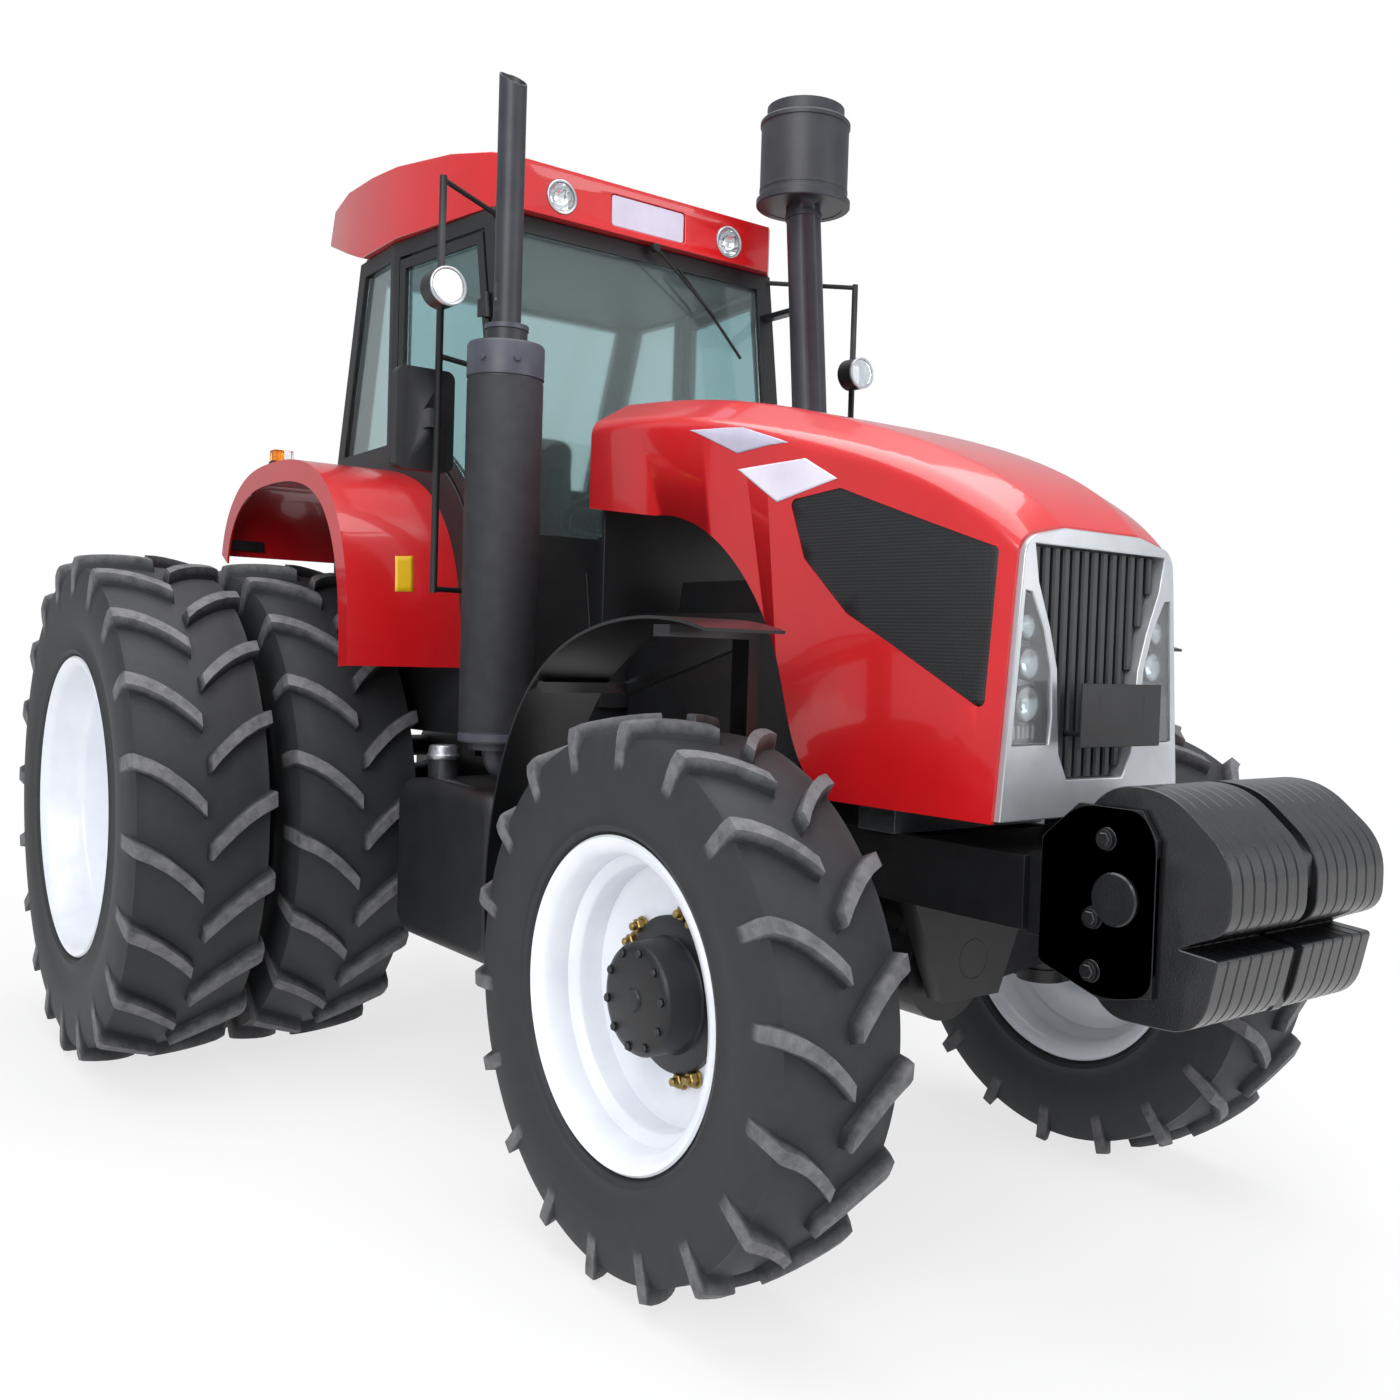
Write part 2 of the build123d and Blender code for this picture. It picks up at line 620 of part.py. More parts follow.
# Hood: a lofted shell, open below and behind.
# Each station gives X, the half widths below and above, the crown's Z and how far the shoulder lies below it.
HOOD_STATIONS = [
    (HOOD_REAR_X, 400, 400, 2430, 100),
    (FRONT_AXLE_X - 650, 403, 400, 2378, 96),
    (FRONT_AXLE_X - 250, 398, 392, 2298, 90),
    (FRONT_AXLE_X + 100, 386, 374, 2200, 76),
    (FRONT_AXLE_X + 400, 376, 342, 2078, 58),
    (HOOD_FRONT_X, 368, 304, 1925, 42),
]


def hood_section(half_low, half_high, crown, shoulder, inset, low_z):
    with BuildSketch(Plane.XY, mode=Mode.PRIVATE) as section:
        points = [
            (half_low, low_z - inset),
            (half_high, crown - shoulder),
            (half_high - 150, crown - 10),
        ]
        Polygon(*points, *[(-y, z) for y, z in reversed(points)], align=None)
        corners = section.vertices().filter_by(lambda v: v.Y > low_z + 1)
        fillet(corners, 70)
        if inset:
            offset(amount=-inset)
    return section.sketch


def hood_volume(inset, over, low_z):
    with BuildPart() as volume:
        for x, half_low, half_high, crown, shoulder in HOOD_STATIONS:
            with BuildSketch(Plane.YZ.offset(x)):
                add(hood_section(half_low, half_high, crown, shoulder, inset, low_z))
        loft()
        if over:
            ends = volume.faces().sort_by(Axis.X)
            extrude(ends[0], amount=over)
            extrude(ends[-1], amount=over)
    return volume.part


with BuildSketch(Plane.XY) as vent:
    Polygon(
        (FRONT_AXLE_X + 50, 2026),
        (FRONT_AXLE_X - 147, 2005),
        (FRONT_AXLE_X - 80, 1840),
        (FRONT_AXLE_X + 90, 1690),
        (FRONT_AXLE_X + 250, 1612),
        (HOOD_FRONT_X - 50, 1452),
        (HOOD_FRONT_X - 47, 1850),
        align=None,
    )
    fillet(vent.vertices(), 18)

hood_outer = hood_volume(0, 0, HOOD_LOW_Z)
hood_inner = hood_volume(HOOD_WALL, 20, HOOD_LOW_Z - 20)
with BuildPart() as hood:
    add(hood_outer)
    add(hood_inner, mode=Mode.SUBTRACT)
    # The flanks are cut away over the front wheels and below the rear end.
    with BuildSketch(Plane.XZ):
        with BuildLine():
            Line((HOOD_REAR_X - 20, HOOD_LOW_Z - 60), (HOOD_REAR_X - 20, HOOD_REAR_LOW_Z))
            Line((HOOD_REAR_X - 20, HOOD_REAR_LOW_Z), (FRONT_AXLE_X - 800, HOOD_REAR_LOW_Z - 50))
            Spline(
                (FRONT_AXLE_X - 800, HOOD_REAR_LOW_Z - 50),
                (FRONT_AXLE_X - 449, 1893),
                (FRONT_AXLE_X - 275, 1728),
                (FRONT_AXLE_X - 176, 1558),
                (FRONT_AXLE_X - 99, 1338),
                (FRONT_AXLE_X + 56, HOOD_LOW_Z - 12),
            )
            Line((FRONT_AXLE_X + 56, HOOD_LOW_Z - 12), (FRONT_AXLE_X + 56, HOOD_LOW_Z - 60))
            Line((FRONT_AXLE_X + 56, HOOD_LOW_Z - 60), (HOOD_REAR_X - 20, HOOD_LOW_Z - 60))
        make_face()
    extrude(amount=500, both=True, mode=Mode.SUBTRACT)
    with BuildSketch(Plane.XZ):
        add(vent.sketch)
    extrude(amount=500, both=True, mode=Mode.SUBTRACT)
    # Ears of the hinge hang from the rear of the crown.
    for side in (1, -1):
        with BuildSketch(fin(0, side * (220 + SEAT_GAP), 0, (1, 0, 0), (0, -1, 0))):
            with BuildLine():
                Polyline(
                    (HOOD_HINGE_X - 18, HOOD_HINGE_Z - 18),
                    (HOOD_HINGE_X + 18, HOOD_HINGE_Z - 18),
                    (HOOD_HINGE_X + 50, 2412),
                    (HOOD_HINGE_X - 20, 2414),
                    close=True,
                )
            make_face()
        extrude(amount=-side * 14)
save(hood.part, "hood")

# Mesh panels that close the vents in the hood's flanks.
mesh_outer = hood_volume(2, 0, HOOD_LOW_Z)
mesh_inner = hood_volume(6, 20, HOOD_LOW_Z - 20)
with BuildPart() as hood_mesh:
    add(mesh_outer)
    add(mesh_inner, mode=Mode.SUBTRACT)
    with BuildSketch(Plane.XZ):
        add(vent.sketch)
        offset(amount=-SEAT_GAP)
    extrude(amount=500, both=True, mode=Mode.INTERSECT)

# Front face of the hood: surround, grille and headlights.
FACE_LOW_Z = 1192


def mirrored_outline(points):
    return points + [(-y, z) for y, z in reversed(points)]


GRILLE_OUTLINE = mirrored_outline(
    [(262, 1862), (244, 1770), (196, 1660), (164, 1560), (156, 1440), (146, 1350), (112, 1286)]
)
LAMP_OUTLINE = [(292, 1748), (268, 1744), (220, 1660), (188, 1560), (180, 1440), (186, 1374), (322, 1374)]

with BuildPart() as surround:
    with BuildSketch(Plane.YZ.offset(FACE_X - FACE_DEPTH)):
        add(hood_section(*HOOD_STATIONS[-1][1:], HOOD_WALL + SEAT_GAP, HOOD_LOW_Z - 20))
        with Locations((0, FACE_LOW_Z - 100)):
            Rectangle(1000, 200, mode=Mode.SUBTRACT)
    extrude(amount=FACE_DEPTH)
    with BuildSketch(Plane.YZ.offset(FACE_X - FACE_DEPTH)):
        Polygon(*GRILLE_OUTLINE, align=None)
        Polygon(*LAMP_OUTLINE, align=None)
        Polygon(*[(-y, z) for y, z in LAMP_OUTLINE], align=None)
    extrude(amount=FACE_DEPTH, mode=Mode.SUBTRACT)
save(surround.part, "grille_surround")

with BuildPart() as headlights:
    with BuildSketch(Plane.YZ.offset(FACE_X - FACE_DEPTH)) as lens_outline:
        Polygon(*LAMP_OUTLINE, align=None)
        Polygon(*[(-y, z) for y, z in LAMP_OUTLINE], align=None)
        offset(amount=-SEAT_GAP)
    extrude(amount=FACE_DEPTH - 6)
save(headlights.part, "headlights")

GRILLE_RIBS = 13
with BuildPart() as grille:
    with BuildSketch(Plane.YZ.offset(FACE_X - 46)) as plate:
        Polygon(*GRILLE_OUTLINE, align=None)
        offset(amount=-SEAT_GAP)
    extrude(amount=8)
    with BuildSketch(Plane.YZ.offset(FACE_X - 38)):
        with Locations((0, 1575)):
            with GridLocations(38, 0, GRILLE_RIBS, 1):
                Rectangle(14, 700)
        Polygon(*GRILLE_OUTLINE, align=None, mode=Mode.INTERSECT)
        offset(amount=-SEAT_GAP)
    extrude(amount=16)

with BuildPart() as grilles:
    add(grille.part)
    add(hood_mesh.part)
save(grilles.part, "grille")

with BuildPart() as radiator:
    with BuildSketch(Plane.YZ.offset(FRONT_AXLE_X + 80)):
        with Locations((0, (RAIL_TOP_Z + SEAT_GAP + 1800) / 2)):
            Rectangle(600, 1800 - RAIL_TOP_Z - SEAT_GAP)
    extrude(amount=140)
    with BuildSketch(Plane.XY.offset(1700)):
        with Locations((FRONT_AXLE_X + 150, 0)):
            RectangleRounded(170, 620, 20)
    extrude(amount=110)
save(radiator.part, "radiator")

# Weight carrier: an arm from the frame, the bar the weights hang on, and a cheek plate at each end.
CARRIER_X = FRONT_AXLE_X + 640
WEIGHT_REAR_X = FRONT_AXLE_X + 800
WEIGHT_FRONT_X = FRONT_AXLE_X + FRONT_REACH
WEIGHT_HALF = WEIGHT_MIDDLE_GAP / 2 + WEIGHTS_PER_SIDE * WEIGHT_PITCH
with BuildPart() as carrier:
    with BuildSketch(Plane.YZ.offset(CARRIER_X + SEAT_GAP)):
        with Locations((0, 1020)):
            Rectangle(2 * 255, 200)
    extrude(amount=WEIGHT_REAR_X - CARRIER_X - 2 * SEAT_GAP)
    with BuildSketch(Plane.YZ.offset(WEIGHT_REAR_X - 60)):
        with Locations((0, 1030)):
            Rectangle(2 * WEIGHT_HALF + 30, 290)
    extrude(amount=60 - SEAT_GAP)
    for side in (1, -1):
        with BuildSketch(fin(0, side * WEIGHT_HALF, 0, (1, 0, 0), (0, -1, 0))):
            with BuildLine():
                Polyline(
                    (WEIGHT_REAR_X - 60, 885),
                    (WEIGHT_REAR_X - 60, 1175),
                    (WEIGHT_REAR_X + 40, 1262),
                    (WEIGHT_REAR_X + 210, 1262),
                    (WEIGHT_REAR_X + 250, 1200),
                    (WEIGHT_REAR_X + 250, 860),
                    (WEIGHT_REAR_X + 120, 830),
                    close=True,
                )
            make_face()
        extrude(amount=-side * 15)
        for bolt_x, bolt_z in ((120, 1190), (90, 1010), (90, 890)):
            with BuildSketch(
                fin(WEIGHT_REAR_X + bolt_x, side * (WEIGHT_HALF + 15), bolt_z, (1, 0, 0), (0, -1, 0))
            ):
                Circle(22)
            extrude(amount=-side * 12)

with BuildPart() as front_frame:
    add(frame.part)
    add(carrier.part)
save(front_frame.part, "front_frame")

with BuildPart() as weights:
    for side in (1, -1):
        for index in range(WEIGHTS_PER_SIDE):
            plate_y = side * (WEIGHT_MIDDLE_GAP / 2 + index * WEIGHT_PITCH + SEAT_GAP)
            with BuildSketch(fin(0, plate_y, 0, (1, 0, 0), (0, -1, 0))) as weight_face:
                with BuildLine():
                    Polyline(
                        (WEIGHT_REAR_X, 930),
                        (WEIGHT_REAR_X, 1190),
                        (WEIGHT_REAR_X + 110, 1312),
                        (WEIGHT_REAR_X + 262, 1312),
                        (WEIGHT_FRONT_X, 1180),
                        (WEIGHT_FRONT_X, 1030),
                        (WEIGHT_FRONT_X - 90, 992),
                        (WEIGHT_FRONT_X - 120, 976),
                        (WEIGHT_FRONT_X - 24, 968),
                        (WEIGHT_FRONT_X - 60, 800),
                        (WEIGHT_REAR_X + 130, 790),
                        close=True,
                    )
                make_face()
                front_corners = weight_face.vertices().filter_by(
                    lambda v: v.X > WEIGHT_FRONT_X - 70 or v.Y > 1300
                )
                fillet(front_corners, 26)
            extrude(amount=-side * (WEIGHT_PITCH - WEIGHT_GAP))
            # A boss at each side of a plate spaces it from the next.
            with BuildSketch(fin(WEIGHT_REAR_X + 150, plate_y, 1060, (1, 0, 0), (0, -1, 0))):
                Circle(60)
            extrude(amount=-side * (WEIGHT_PITCH - 2 * SEAT_GAP))
save(weights.part, "front_weights")


# Cab: a side profile and a plan are crossed, and the inner volume is taken out of the outer one.
CAB_FOOT_Z = 1350
FRONT_SLOPE = (CAB_FRONT_TOP_X - CAB_FRONT_FOOT_X) / (CAB_TOP_Z - CAB_FOOT_Z)
REAR_SLOPE = (CAB_REAR_TOP_X - CAB_REAR_FOOT_X) / (CAB_TOP_Z - CAB_REAR_SILL_Z)
SIDE_SLOPE = (B_PILLAR_Y - CAB_FRONT_Y) / (CAB_FRONT_FOOT_X - B_PILLAR_X)


def cab_front_x(z):
    return CAB_FRONT_FOOT_X + FRONT_SLOPE * (z - CAB_FOOT_Z)


def cab_rear_x(z):
    return CAB_REAR_FOOT_X + REAR_SLOPE * (z - CAB_REAR_SILL_Z)


def cab_volume(inset):
    with BuildPart() as volume:
        with BuildSketch(Plane.XZ):
            with BuildLine():
                Polyline(
                    (CAB_FRONT_FOOT_X, CAB_FLOOR_Z),
                    (CAB_FRONT_FOOT_X, CAB_FOOT_Z),
                    (CAB_FRONT_TOP_X, CAB_TOP_Z),
                    (CAB_REAR_TOP_X, CAB_TOP_Z),
                    (CAB_REAR_FOOT_X, CAB_REAR_SILL_Z),
                    (CAB_REAR_FOOT_X, CAB_FLOOR_Z),
                    close=True,
                )
            make_face()
            if inset:
                offset(amount=-inset, kind=Kind.INTERSECTION, mode=Mode.REPLACE)
        extrude(amount=900, both=True)
        with BuildSketch(Plane.XY.offset(CAB_FLOOR_Z - 50)):
            with BuildLine():
                Polyline(
                    (CAB_FRONT_FOOT_X, CAB_FRONT_Y),
                    (B_PILLAR_X, B_PILLAR_Y),
                    (CAB_REAR_FOOT_X, CAB_REAR_Y),
                    (CAB_REAR_FOOT_X, -CAB_REAR_Y),
                    (B_PILLAR_X, -B_PILLAR_Y),
                    (CAB_FRONT_FOOT_X, -CAB_FRONT_Y),
                    close=True,
                )
            make_face()
            if inset:
                offset(amount=-inset, kind=Kind.INTERSECTION, mode=Mode.REPLACE)
        extrude(amount=CAB_TOP_Z - CAB_FLOOR_Z + 100, mode=Mode.INTERSECT)
    return volume.part


DOOR_TOP_Z = CAB_TOP_Z - 60
DOOR_LOW_Z = CAB_FLOOR_Z + 170
DOOR_REAR_X = B_PILLAR_X + 35
A_PILLAR_W = 65
DOOR_STILE = 38


def shrunk(outline, inset):
    with BuildSketch(Plane.XY, mode=Mode.PRIVATE) as smaller:
        add(outline)
        offset(amount=-inset, kind=Kind.INTERSECTION)
    return smaller.sketch


# Side view of the door opening. Its lower rear edge curves round the rear fender.
with BuildSketch(Plane.XY) as door_opening:
    with BuildLine():
        Line((cab_front_x(DOOR_TOP_Z) - A_PILLAR_W, DOOR_TOP_Z), (DOOR_REAR_X, DOOR_TOP_Z))
        Line((DOOR_REAR_X, DOOR_TOP_Z), (DOOR_REAR_X, 2300))
        Line((DOOR_REAR_X, 2300), (REAR_AXLE_X + 700, 2275))
        ThreePointArc(
            (REAR_AXLE_X + 700, 2275),
            (REAR_AXLE_X + 955, 2105),
            (REAR_AXLE_X + 1055, 1760),
        )
        Line((REAR_AXLE_X + 1055, 1760), (REAR_AXLE_X + 1065, DOOR_LOW_Z))
        Line((REAR_AXLE_X + 1065, DOOR_LOW_Z), (cab_front_x(DOOR_LOW_Z) - A_PILLAR_W, DOOR_LOW_Z))
        Line(
            (cab_front_x(DOOR_LOW_Z) - A_PILLAR_W, DOOR_LOW_Z),
            (cab_front_x(DOOR_TOP_Z) - A_PILLAR_W, DOOR_TOP_Z),
        )
    make_face()

with BuildSketch(Plane.XY) as quarter_opening:
    Polygon(
        (B_PILLAR_X - 35, DOOR_TOP_Z),
        (cab_rear_x(DOOR_TOP_Z) + 75, DOOR_TOP_Z),
        (cab_rear_x(2330) + 75, 2330),
        (B_PILLAR_X - 35, 2330),
        align=None,
    )

# Front view of the windscreen's opening and rear view of the rear window's.
with BuildSketch(Plane.XY) as windscreen_opening:
    Polygon((-515, 1960), (515, 1960), (548, 3025), (-548, 3025), align=None)

with BuildSketch(Plane.XY) as rear_opening:
    Polygon((-540, 2310), (540, 2310), (560, 3025), (-560, 3025), align=None)

cab_outer = cab_volume(0)
cab_inner = cab_volume(CAB_WALL)
with BuildPart() as cab_frame:
    add(cab_outer)
    # The cowl stands between the cab and the hood and carries the hood's hinge on two ears.
    with BuildSketch(Plane.XZ):
        with BuildLine():
            Polyline(
                (cab_front_x(1370) - 30, 1370),
                (COWL_X, 1370),
                (COWL_X, 2290),
                (COWL_X - 40, 2290),
                (COWL_X - 40, 1930),
                (cab_front_x(1800) - 30, 1800),
                close=True,
            )
        make_face()
    extrude(amount=330, both=True)
    for side in (1, -1):
        with BuildSketch(fin(0, side * 200, 0, (1, 0, 0), (0, -1, 0))):
            with BuildLine():
                Polyline(
                    (COWL_X - 30, 2230),
                    (HOOD_HINGE_X, HOOD_HINGE_Z - 22),
                    (HOOD_HINGE_X + 18, HOOD_HINGE_Z),
                    (HOOD_HINGE_X, HOOD_HINGE_Z + 18),
                    (HOOD_HINGE_X - 22, HOOD_HINGE_Z + 10),
                    (COWL_X - 30, 2285),
                    close=True,
                )
            make_face()
        extrude(amount=-side * 20)
    add(cab_inner, mode=Mode.SUBTRACT)
    with BuildSketch(Plane.XZ):
        add(door_opening.sketch)
        add(quarter_opening.sketch)
    extrude(amount=900, both=True, mode=Mode.SUBTRACT)
    with BuildSketch(Plane.YZ.offset(CAB_FRONT_FOOT_X + 10)):
        add(windscreen_opening.sketch)
    extrude(amount=-370, mode=Mode.SUBTRACT)
    with BuildSketch(Plane.YZ.offset(CAB_REAR_FOOT_X - 10)):
        add(rear_opening.sketch)
    extrude(amount=360, mode=Mode.SUBTRACT)
save(cab_frame.part, "cab_frame")

# Fixed panes, all set 20 mm into the frame.
pane_outer = cab_volume(20)
pane_inner = cab_volume(20 + PANE_T)
with BuildPart() as cab_glass:
    with BuildSketch(Plane.XZ):
        add(shrunk(quarter_opening.sketch, SEAT_GAP))
    extrude(amount=900, both=True)
    with BuildSketch(Plane.YZ.offset(CAB_FRONT_FOOT_X + 10)):
        add(shrunk(windscreen_opening.sketch, SEAT_GAP))
    extrude(amount=-370)
    with BuildSketch(Plane.YZ.offset(CAB_REAR_FOOT_X - 10)):
        add(shrunk(rear_opening.sketch, SEAT_GAP))
    extrude(amount=360)
    add(pane_outer, mode=Mode.INTERSECT)
    add(pane_inner, mode=Mode.SUBTRACT)
save(cab_glass.part, "cab_glass")

# Doors, hinged at the front pillar on an axis that leans with it.
HINGE_AXIS = Vector(FRONT_SLOPE, -SIDE_SLOPE * FRONT_SLOPE, 1)


def hinge_point(side, z):
    x = cab_front_x(z) - A_PILLAR_W + 2
    surface_y = CAB_FRONT_Y + SIDE_SLOPE * (CAB_FRONT_FOOT_X - x)
    out = Vector(SIDE_SLOPE, 1, 0).normalized() * (HINGE_BARREL_R + SEAT_GAP)
    return Vector(x + out.X, side * (surface_y + out.Y), z)


door_outer = cab_volume(0)
door_inner = cab_volume(DOOR_T)
for side, name in ((1, "left"), (-1, "right")):
    axis_dir = Vector(HINGE_AXIS.X, side * HINGE_AXIS.Y, 1).normalized()
    rearward = Vector(-1, side * SIDE_SLOPE, 0).normalized()
    with BuildPart() as door:
        with BuildSketch(Plane.XZ):
            add(shrunk(door_opening.sketch, DOOR_GAP))
        extrude(amount=-side * 900)
        add(door_outer, mode=Mode.INTERSECT)
        add(door_inner, mode=Mode.SUBTRACT)
        with BuildSketch(Plane.XZ):
            add(shrunk(door_opening.sketch, DOOR_GAP + DOOR_STILE))
        extrude(amount=-side * 900, mode=Mode.SUBTRACT)
        for z in (CAB_TOP_Z - 340, CAB_FLOOR_Z + 420):
            centre = hinge_point(side, z)
            with BuildSketch(Plane(origin=centre, x_dir=rearward, z_dir=axis_dir)) as barrel:
                Circle(HINGE_BARREL_R)
            extrude(amount=45, both=True)
            outward = Vector(SIDE_SLOPE, side, 0).normalized()
            strap_plane = Plane(
                origin=centre - outward * (HINGE_BARREL_R + SEAT_GAP + 3),
                x_dir=rearward,
                z_dir=outward,
            )
            with BuildSketch(strap_plane):
                with Locations((37, 0)):
                    Rectangle(58, 60)
            extrude(amount=11)
        # Grab handle on the rear edge.
        with BuildSketch(fin(DOOR_REAR_X + DOOR_GAP + 20, side * (B_PILLAR_Y - 30), 2420, (1, 0, 0), (0, -1, 0))):
            RectangleRounded(26, 130, 6)
        extrude(amount=-side * 48)
    save(door.part, "door_" + name)
    with BuildPart() as door_glass:
        with BuildSketch(Plane.XZ):
            add(shrunk(door_opening.sketch, DOOR_GAP + DOOR_STILE + SEAT_GAP))
        extrude(amount=-side * 900)
        add(cab_volume(14), mode=Mode.INTERSECT)
        add(cab_volume(14 + PANE_T), mode=Mode.SUBTRACT)
    save(door_glass.part, "door_glass_" + name)

# Roof with its raised rear edge, lamp recesses and a shallow panel recess in front.
ROOF_FRONT_X = CAB_FRONT_TOP_X + 45
ROOF_REAR_X = CAB_REAR_FOOT_X - 190
LAMP_Y = 373
LAMP_Z = 3168
LAMP_R = 52
LAMP_POCKET = 60
with BuildPart() as roof:
    with BuildSketch(Plane.XZ):
        with BuildLine():
            Polyline(
                (ROOF_FRONT_X, CAB_TOP_Z + SEAT_GAP),
                (ROOF_FRONT_X - 6, ROOF_TOP_Z - 110),
                (CAB_FRONT_TOP_X - 260, ROOF_TOP_Z - 52),
                (CAB_REAR_TOP_X + 200, ROOF_TOP_Z),
                (ROOF_REAR_X + 100, ROOF_TOP_Z + 10),
                (ROOF_REAR_X, ROOF_TOP_Z - 110),
                (CAB_REAR_TOP_X + 60, CAB_TOP_Z + SEAT_GAP + 10),
                (CAB_REAR_TOP_X + 100, CAB_TOP_Z + SEAT_GAP),
                close=True,
            )
        make_face()
    extrude(amount=900, both=True)
    with BuildSketch(Plane.XY.offset(CAB_TOP_Z - 50)) as roof_plan:
        with BuildLine():
            Polyline(
                (ROOF_FRONT_X + 10, 560),
                (ROOF_FRONT_X - 60, 622),
                (B_PILLAR_X + 60, 712),
                (CAB_REAR_TOP_X - 60, 700),
                (ROOF_REAR_X - 10, 620),
                (ROOF_REAR_X - 10, -620),
                (CAB_REAR_TOP_X - 60, -700),
                (B_PILLAR_X + 60, -712),
                (ROOF_FRONT_X - 60, -622),
                (ROOF_FRONT_X + 10, -560),
                close=True,
            )
        make_face()
    extrude(amount=600, mode=Mode.INTERSECT)
    with BuildSketch(Plane.YZ.offset(ROOF_FRONT_X + 20)):
        with Locations((LAMP_Y, LAMP_Z), (-LAMP_Y, LAMP_Z)):
            Circle(LAMP_R + 8)
    extrude(amount=-20 - LAMP_POCKET, mode=Mode.SUBTRACT)
    with BuildSketch(Plane.YZ.offset(ROOF_FRONT_X + 20)):
        with Locations((0, 3174)):
            RectangleRounded(330, 116, 14)
    extrude(amount=-34, mode=Mode.SUBTRACT)
save(roof.part, "cab_roof")

# Work lamps in the roof's front pockets and under its rear overhang.
ROOF_RAKE = (ROOF_TOP_Z - 110 - CAB_TOP_Z - SEAT_GAP - 10) / (CAB_REAR_TOP_X + 60 - ROOF_REAR_X)


def roof_underside_z(x):
    return ROOF_TOP_Z - 110 - (x - ROOF_REAR_X) * ROOF_RAKE


with BuildPart() as roof_lamps:
    with BuildSketch(Plane.YZ.offset(ROOF_FRONT_X - LAMP_POCKET + SEAT_GAP)):
        with Locations((LAMP_Y, LAMP_Z), (-LAMP_Y, LAMP_Z)):
            Circle(LAMP_R)
    extrude(amount=LAMP_POCKET - 12)
    for side in (1, -1):
        with BuildSketch(fin(0, side * 360, 0, (1, 0, 0), (0, -1, 0))):
            Polygon(
                (ROOF_REAR_X + 60, roof_underside_z(ROOF_REAR_X + 60) - 0.35),
                (ROOF_REAR_X + 60, LAMP_Z - 40),
                (ROOF_REAR_X + 130, LAMP_Z - 40),
                (ROOF_REAR_X + 130, roof_underside_z(ROOF_REAR_X + 130) - 0.35),
                align=None,
            )
        extrude(amount=-side * 130)

# Console under the steering wheel, its leaning column and the wheel itself.
CAB_INNER_FLOOR_Z = CAB_FLOOR_Z + CAB_WALL
WHEEL_X = REAR_AXLE_X + 1010
WHEEL_Z = 2090
WHEEL_RADIUS = 205
column_dir = Vector(-0.42, 0, 1).normalized()
with BuildPart() as console:
    with BuildSketch(Plane.XZ):
        with BuildLine():
            Polyline(
                (-190, CAB_INNER_FLOOR_Z + SEAT_GAP),
                (cab_front_x(1350) - 62, CAB_INNER_FLOOR_Z + SEAT_GAP),
                (cab_front_x(1350) - 62, 1350),
                (cab_front_x(1930) - 62, 1930),
                (-110, 2000),
                (-190, 1960),
                close=True,
            )
        make_face()
    extrude(amount=150, both=True)
    with BuildSketch(Plane(origin=Vector(WHEEL_X, 0, WHEEL_Z) - column_dir * 300, z_dir=column_dir)):
        Circle(42)
    extrude(amount=300)
    with Locations(Plane(origin=(WHEEL_X, 0, WHEEL_Z), x_dir=(0, 1, 0), z_dir=column_dir)):
        Torus(WHEEL_RADIUS, 15)
        Box(2 * WHEEL_RADIUS, 34, 10)
        Cylinder(60, 22)

# Armrest console at the driver's right, with its lever.
with BuildPart() as armrest:
    with BuildSketch(Plane.XZ.offset(300)):
        with BuildLine():
            Polyline(
                (REAR_AXLE_X + 260, CAB_INNER_FLOOR_Z + SEAT_GAP),
                (REAR_AXLE_X + 760, CAB_INNER_FLOOR_Z + SEAT_GAP),
                (REAR_AXLE_X + 760, 1900),
                (REAR_AXLE_X + 640, 2010),
                (REAR_AXLE_X + 260, 2010),
                close=True,
            )
        make_face()
    extrude(amount=130)
    with BuildSketch(Plane.XY.offset(1940)):
        with Locations((REAR_AXLE_X + 660, -360)):
            Circle(14)
    extrude(amount=150)

with BuildPart() as consoles:
    add(console.part)
    add(armrest.part)
save(consoles.part, "cab_consoles")

# Driver's seat on its box.
SEAT_X = REAR_AXLE_X + 500
SEAT_TOP_Z = 1860
with BuildPart() as seat_base:
    with BuildSketch(Plane.XY.offset(CAB_INNER_FLOOR_Z + SEAT_GAP)):
        with Locations((SEAT_X, 0)):
            RectangleRounded(360, 380, 30)
    extrude(amount=SEAT_TOP_Z - 170 - CAB_INNER_FLOOR_Z)
    with BuildSketch(Plane.XY.offset(SEAT_TOP_Z - 170)):
        with Locations((SEAT_X, 0)):
            RectangleRounded(480, 500, 30)
    extrude(amount=30)
    with BuildSketch(Plane.XY.offset(SEAT_TOP_Z - 150)):
        with Locations((SEAT_X - 250, 0)):
            Rectangle(20, 300)
    extrude(amount=480)
save(seat_base.part, "seat_base")

with BuildPart() as seat_cushion:
    with BuildSketch(Plane.XY.offset(SEAT_TOP_Z - 140 + SEAT_GAP)):
        with Locations((SEAT_X + 10, 0)):
            RectangleRounded(480, 500, 70)
    extrude(amount=140)
    top_edges = seat_cushion.faces().sort_by(Axis.Z)[-1].edges()
    fillet(top_edges, 40)
save(seat_cushion.part, "seat_cushion")

with BuildPart() as seat_back:
    with BuildSketch(Plane.YZ.offset(SEAT_X - 240 + SEAT_GAP)):
        with Locations((0, SEAT_TOP_Z + 320)):
            RectangleRounded(480, 620, 90)
    extrude(amount=110)
    front_edges = seat_back.faces().sort_by(Axis.X)[-1].edges()
    fillet(front_edges, 40)
save(seat_back.part, "seat_backrest")

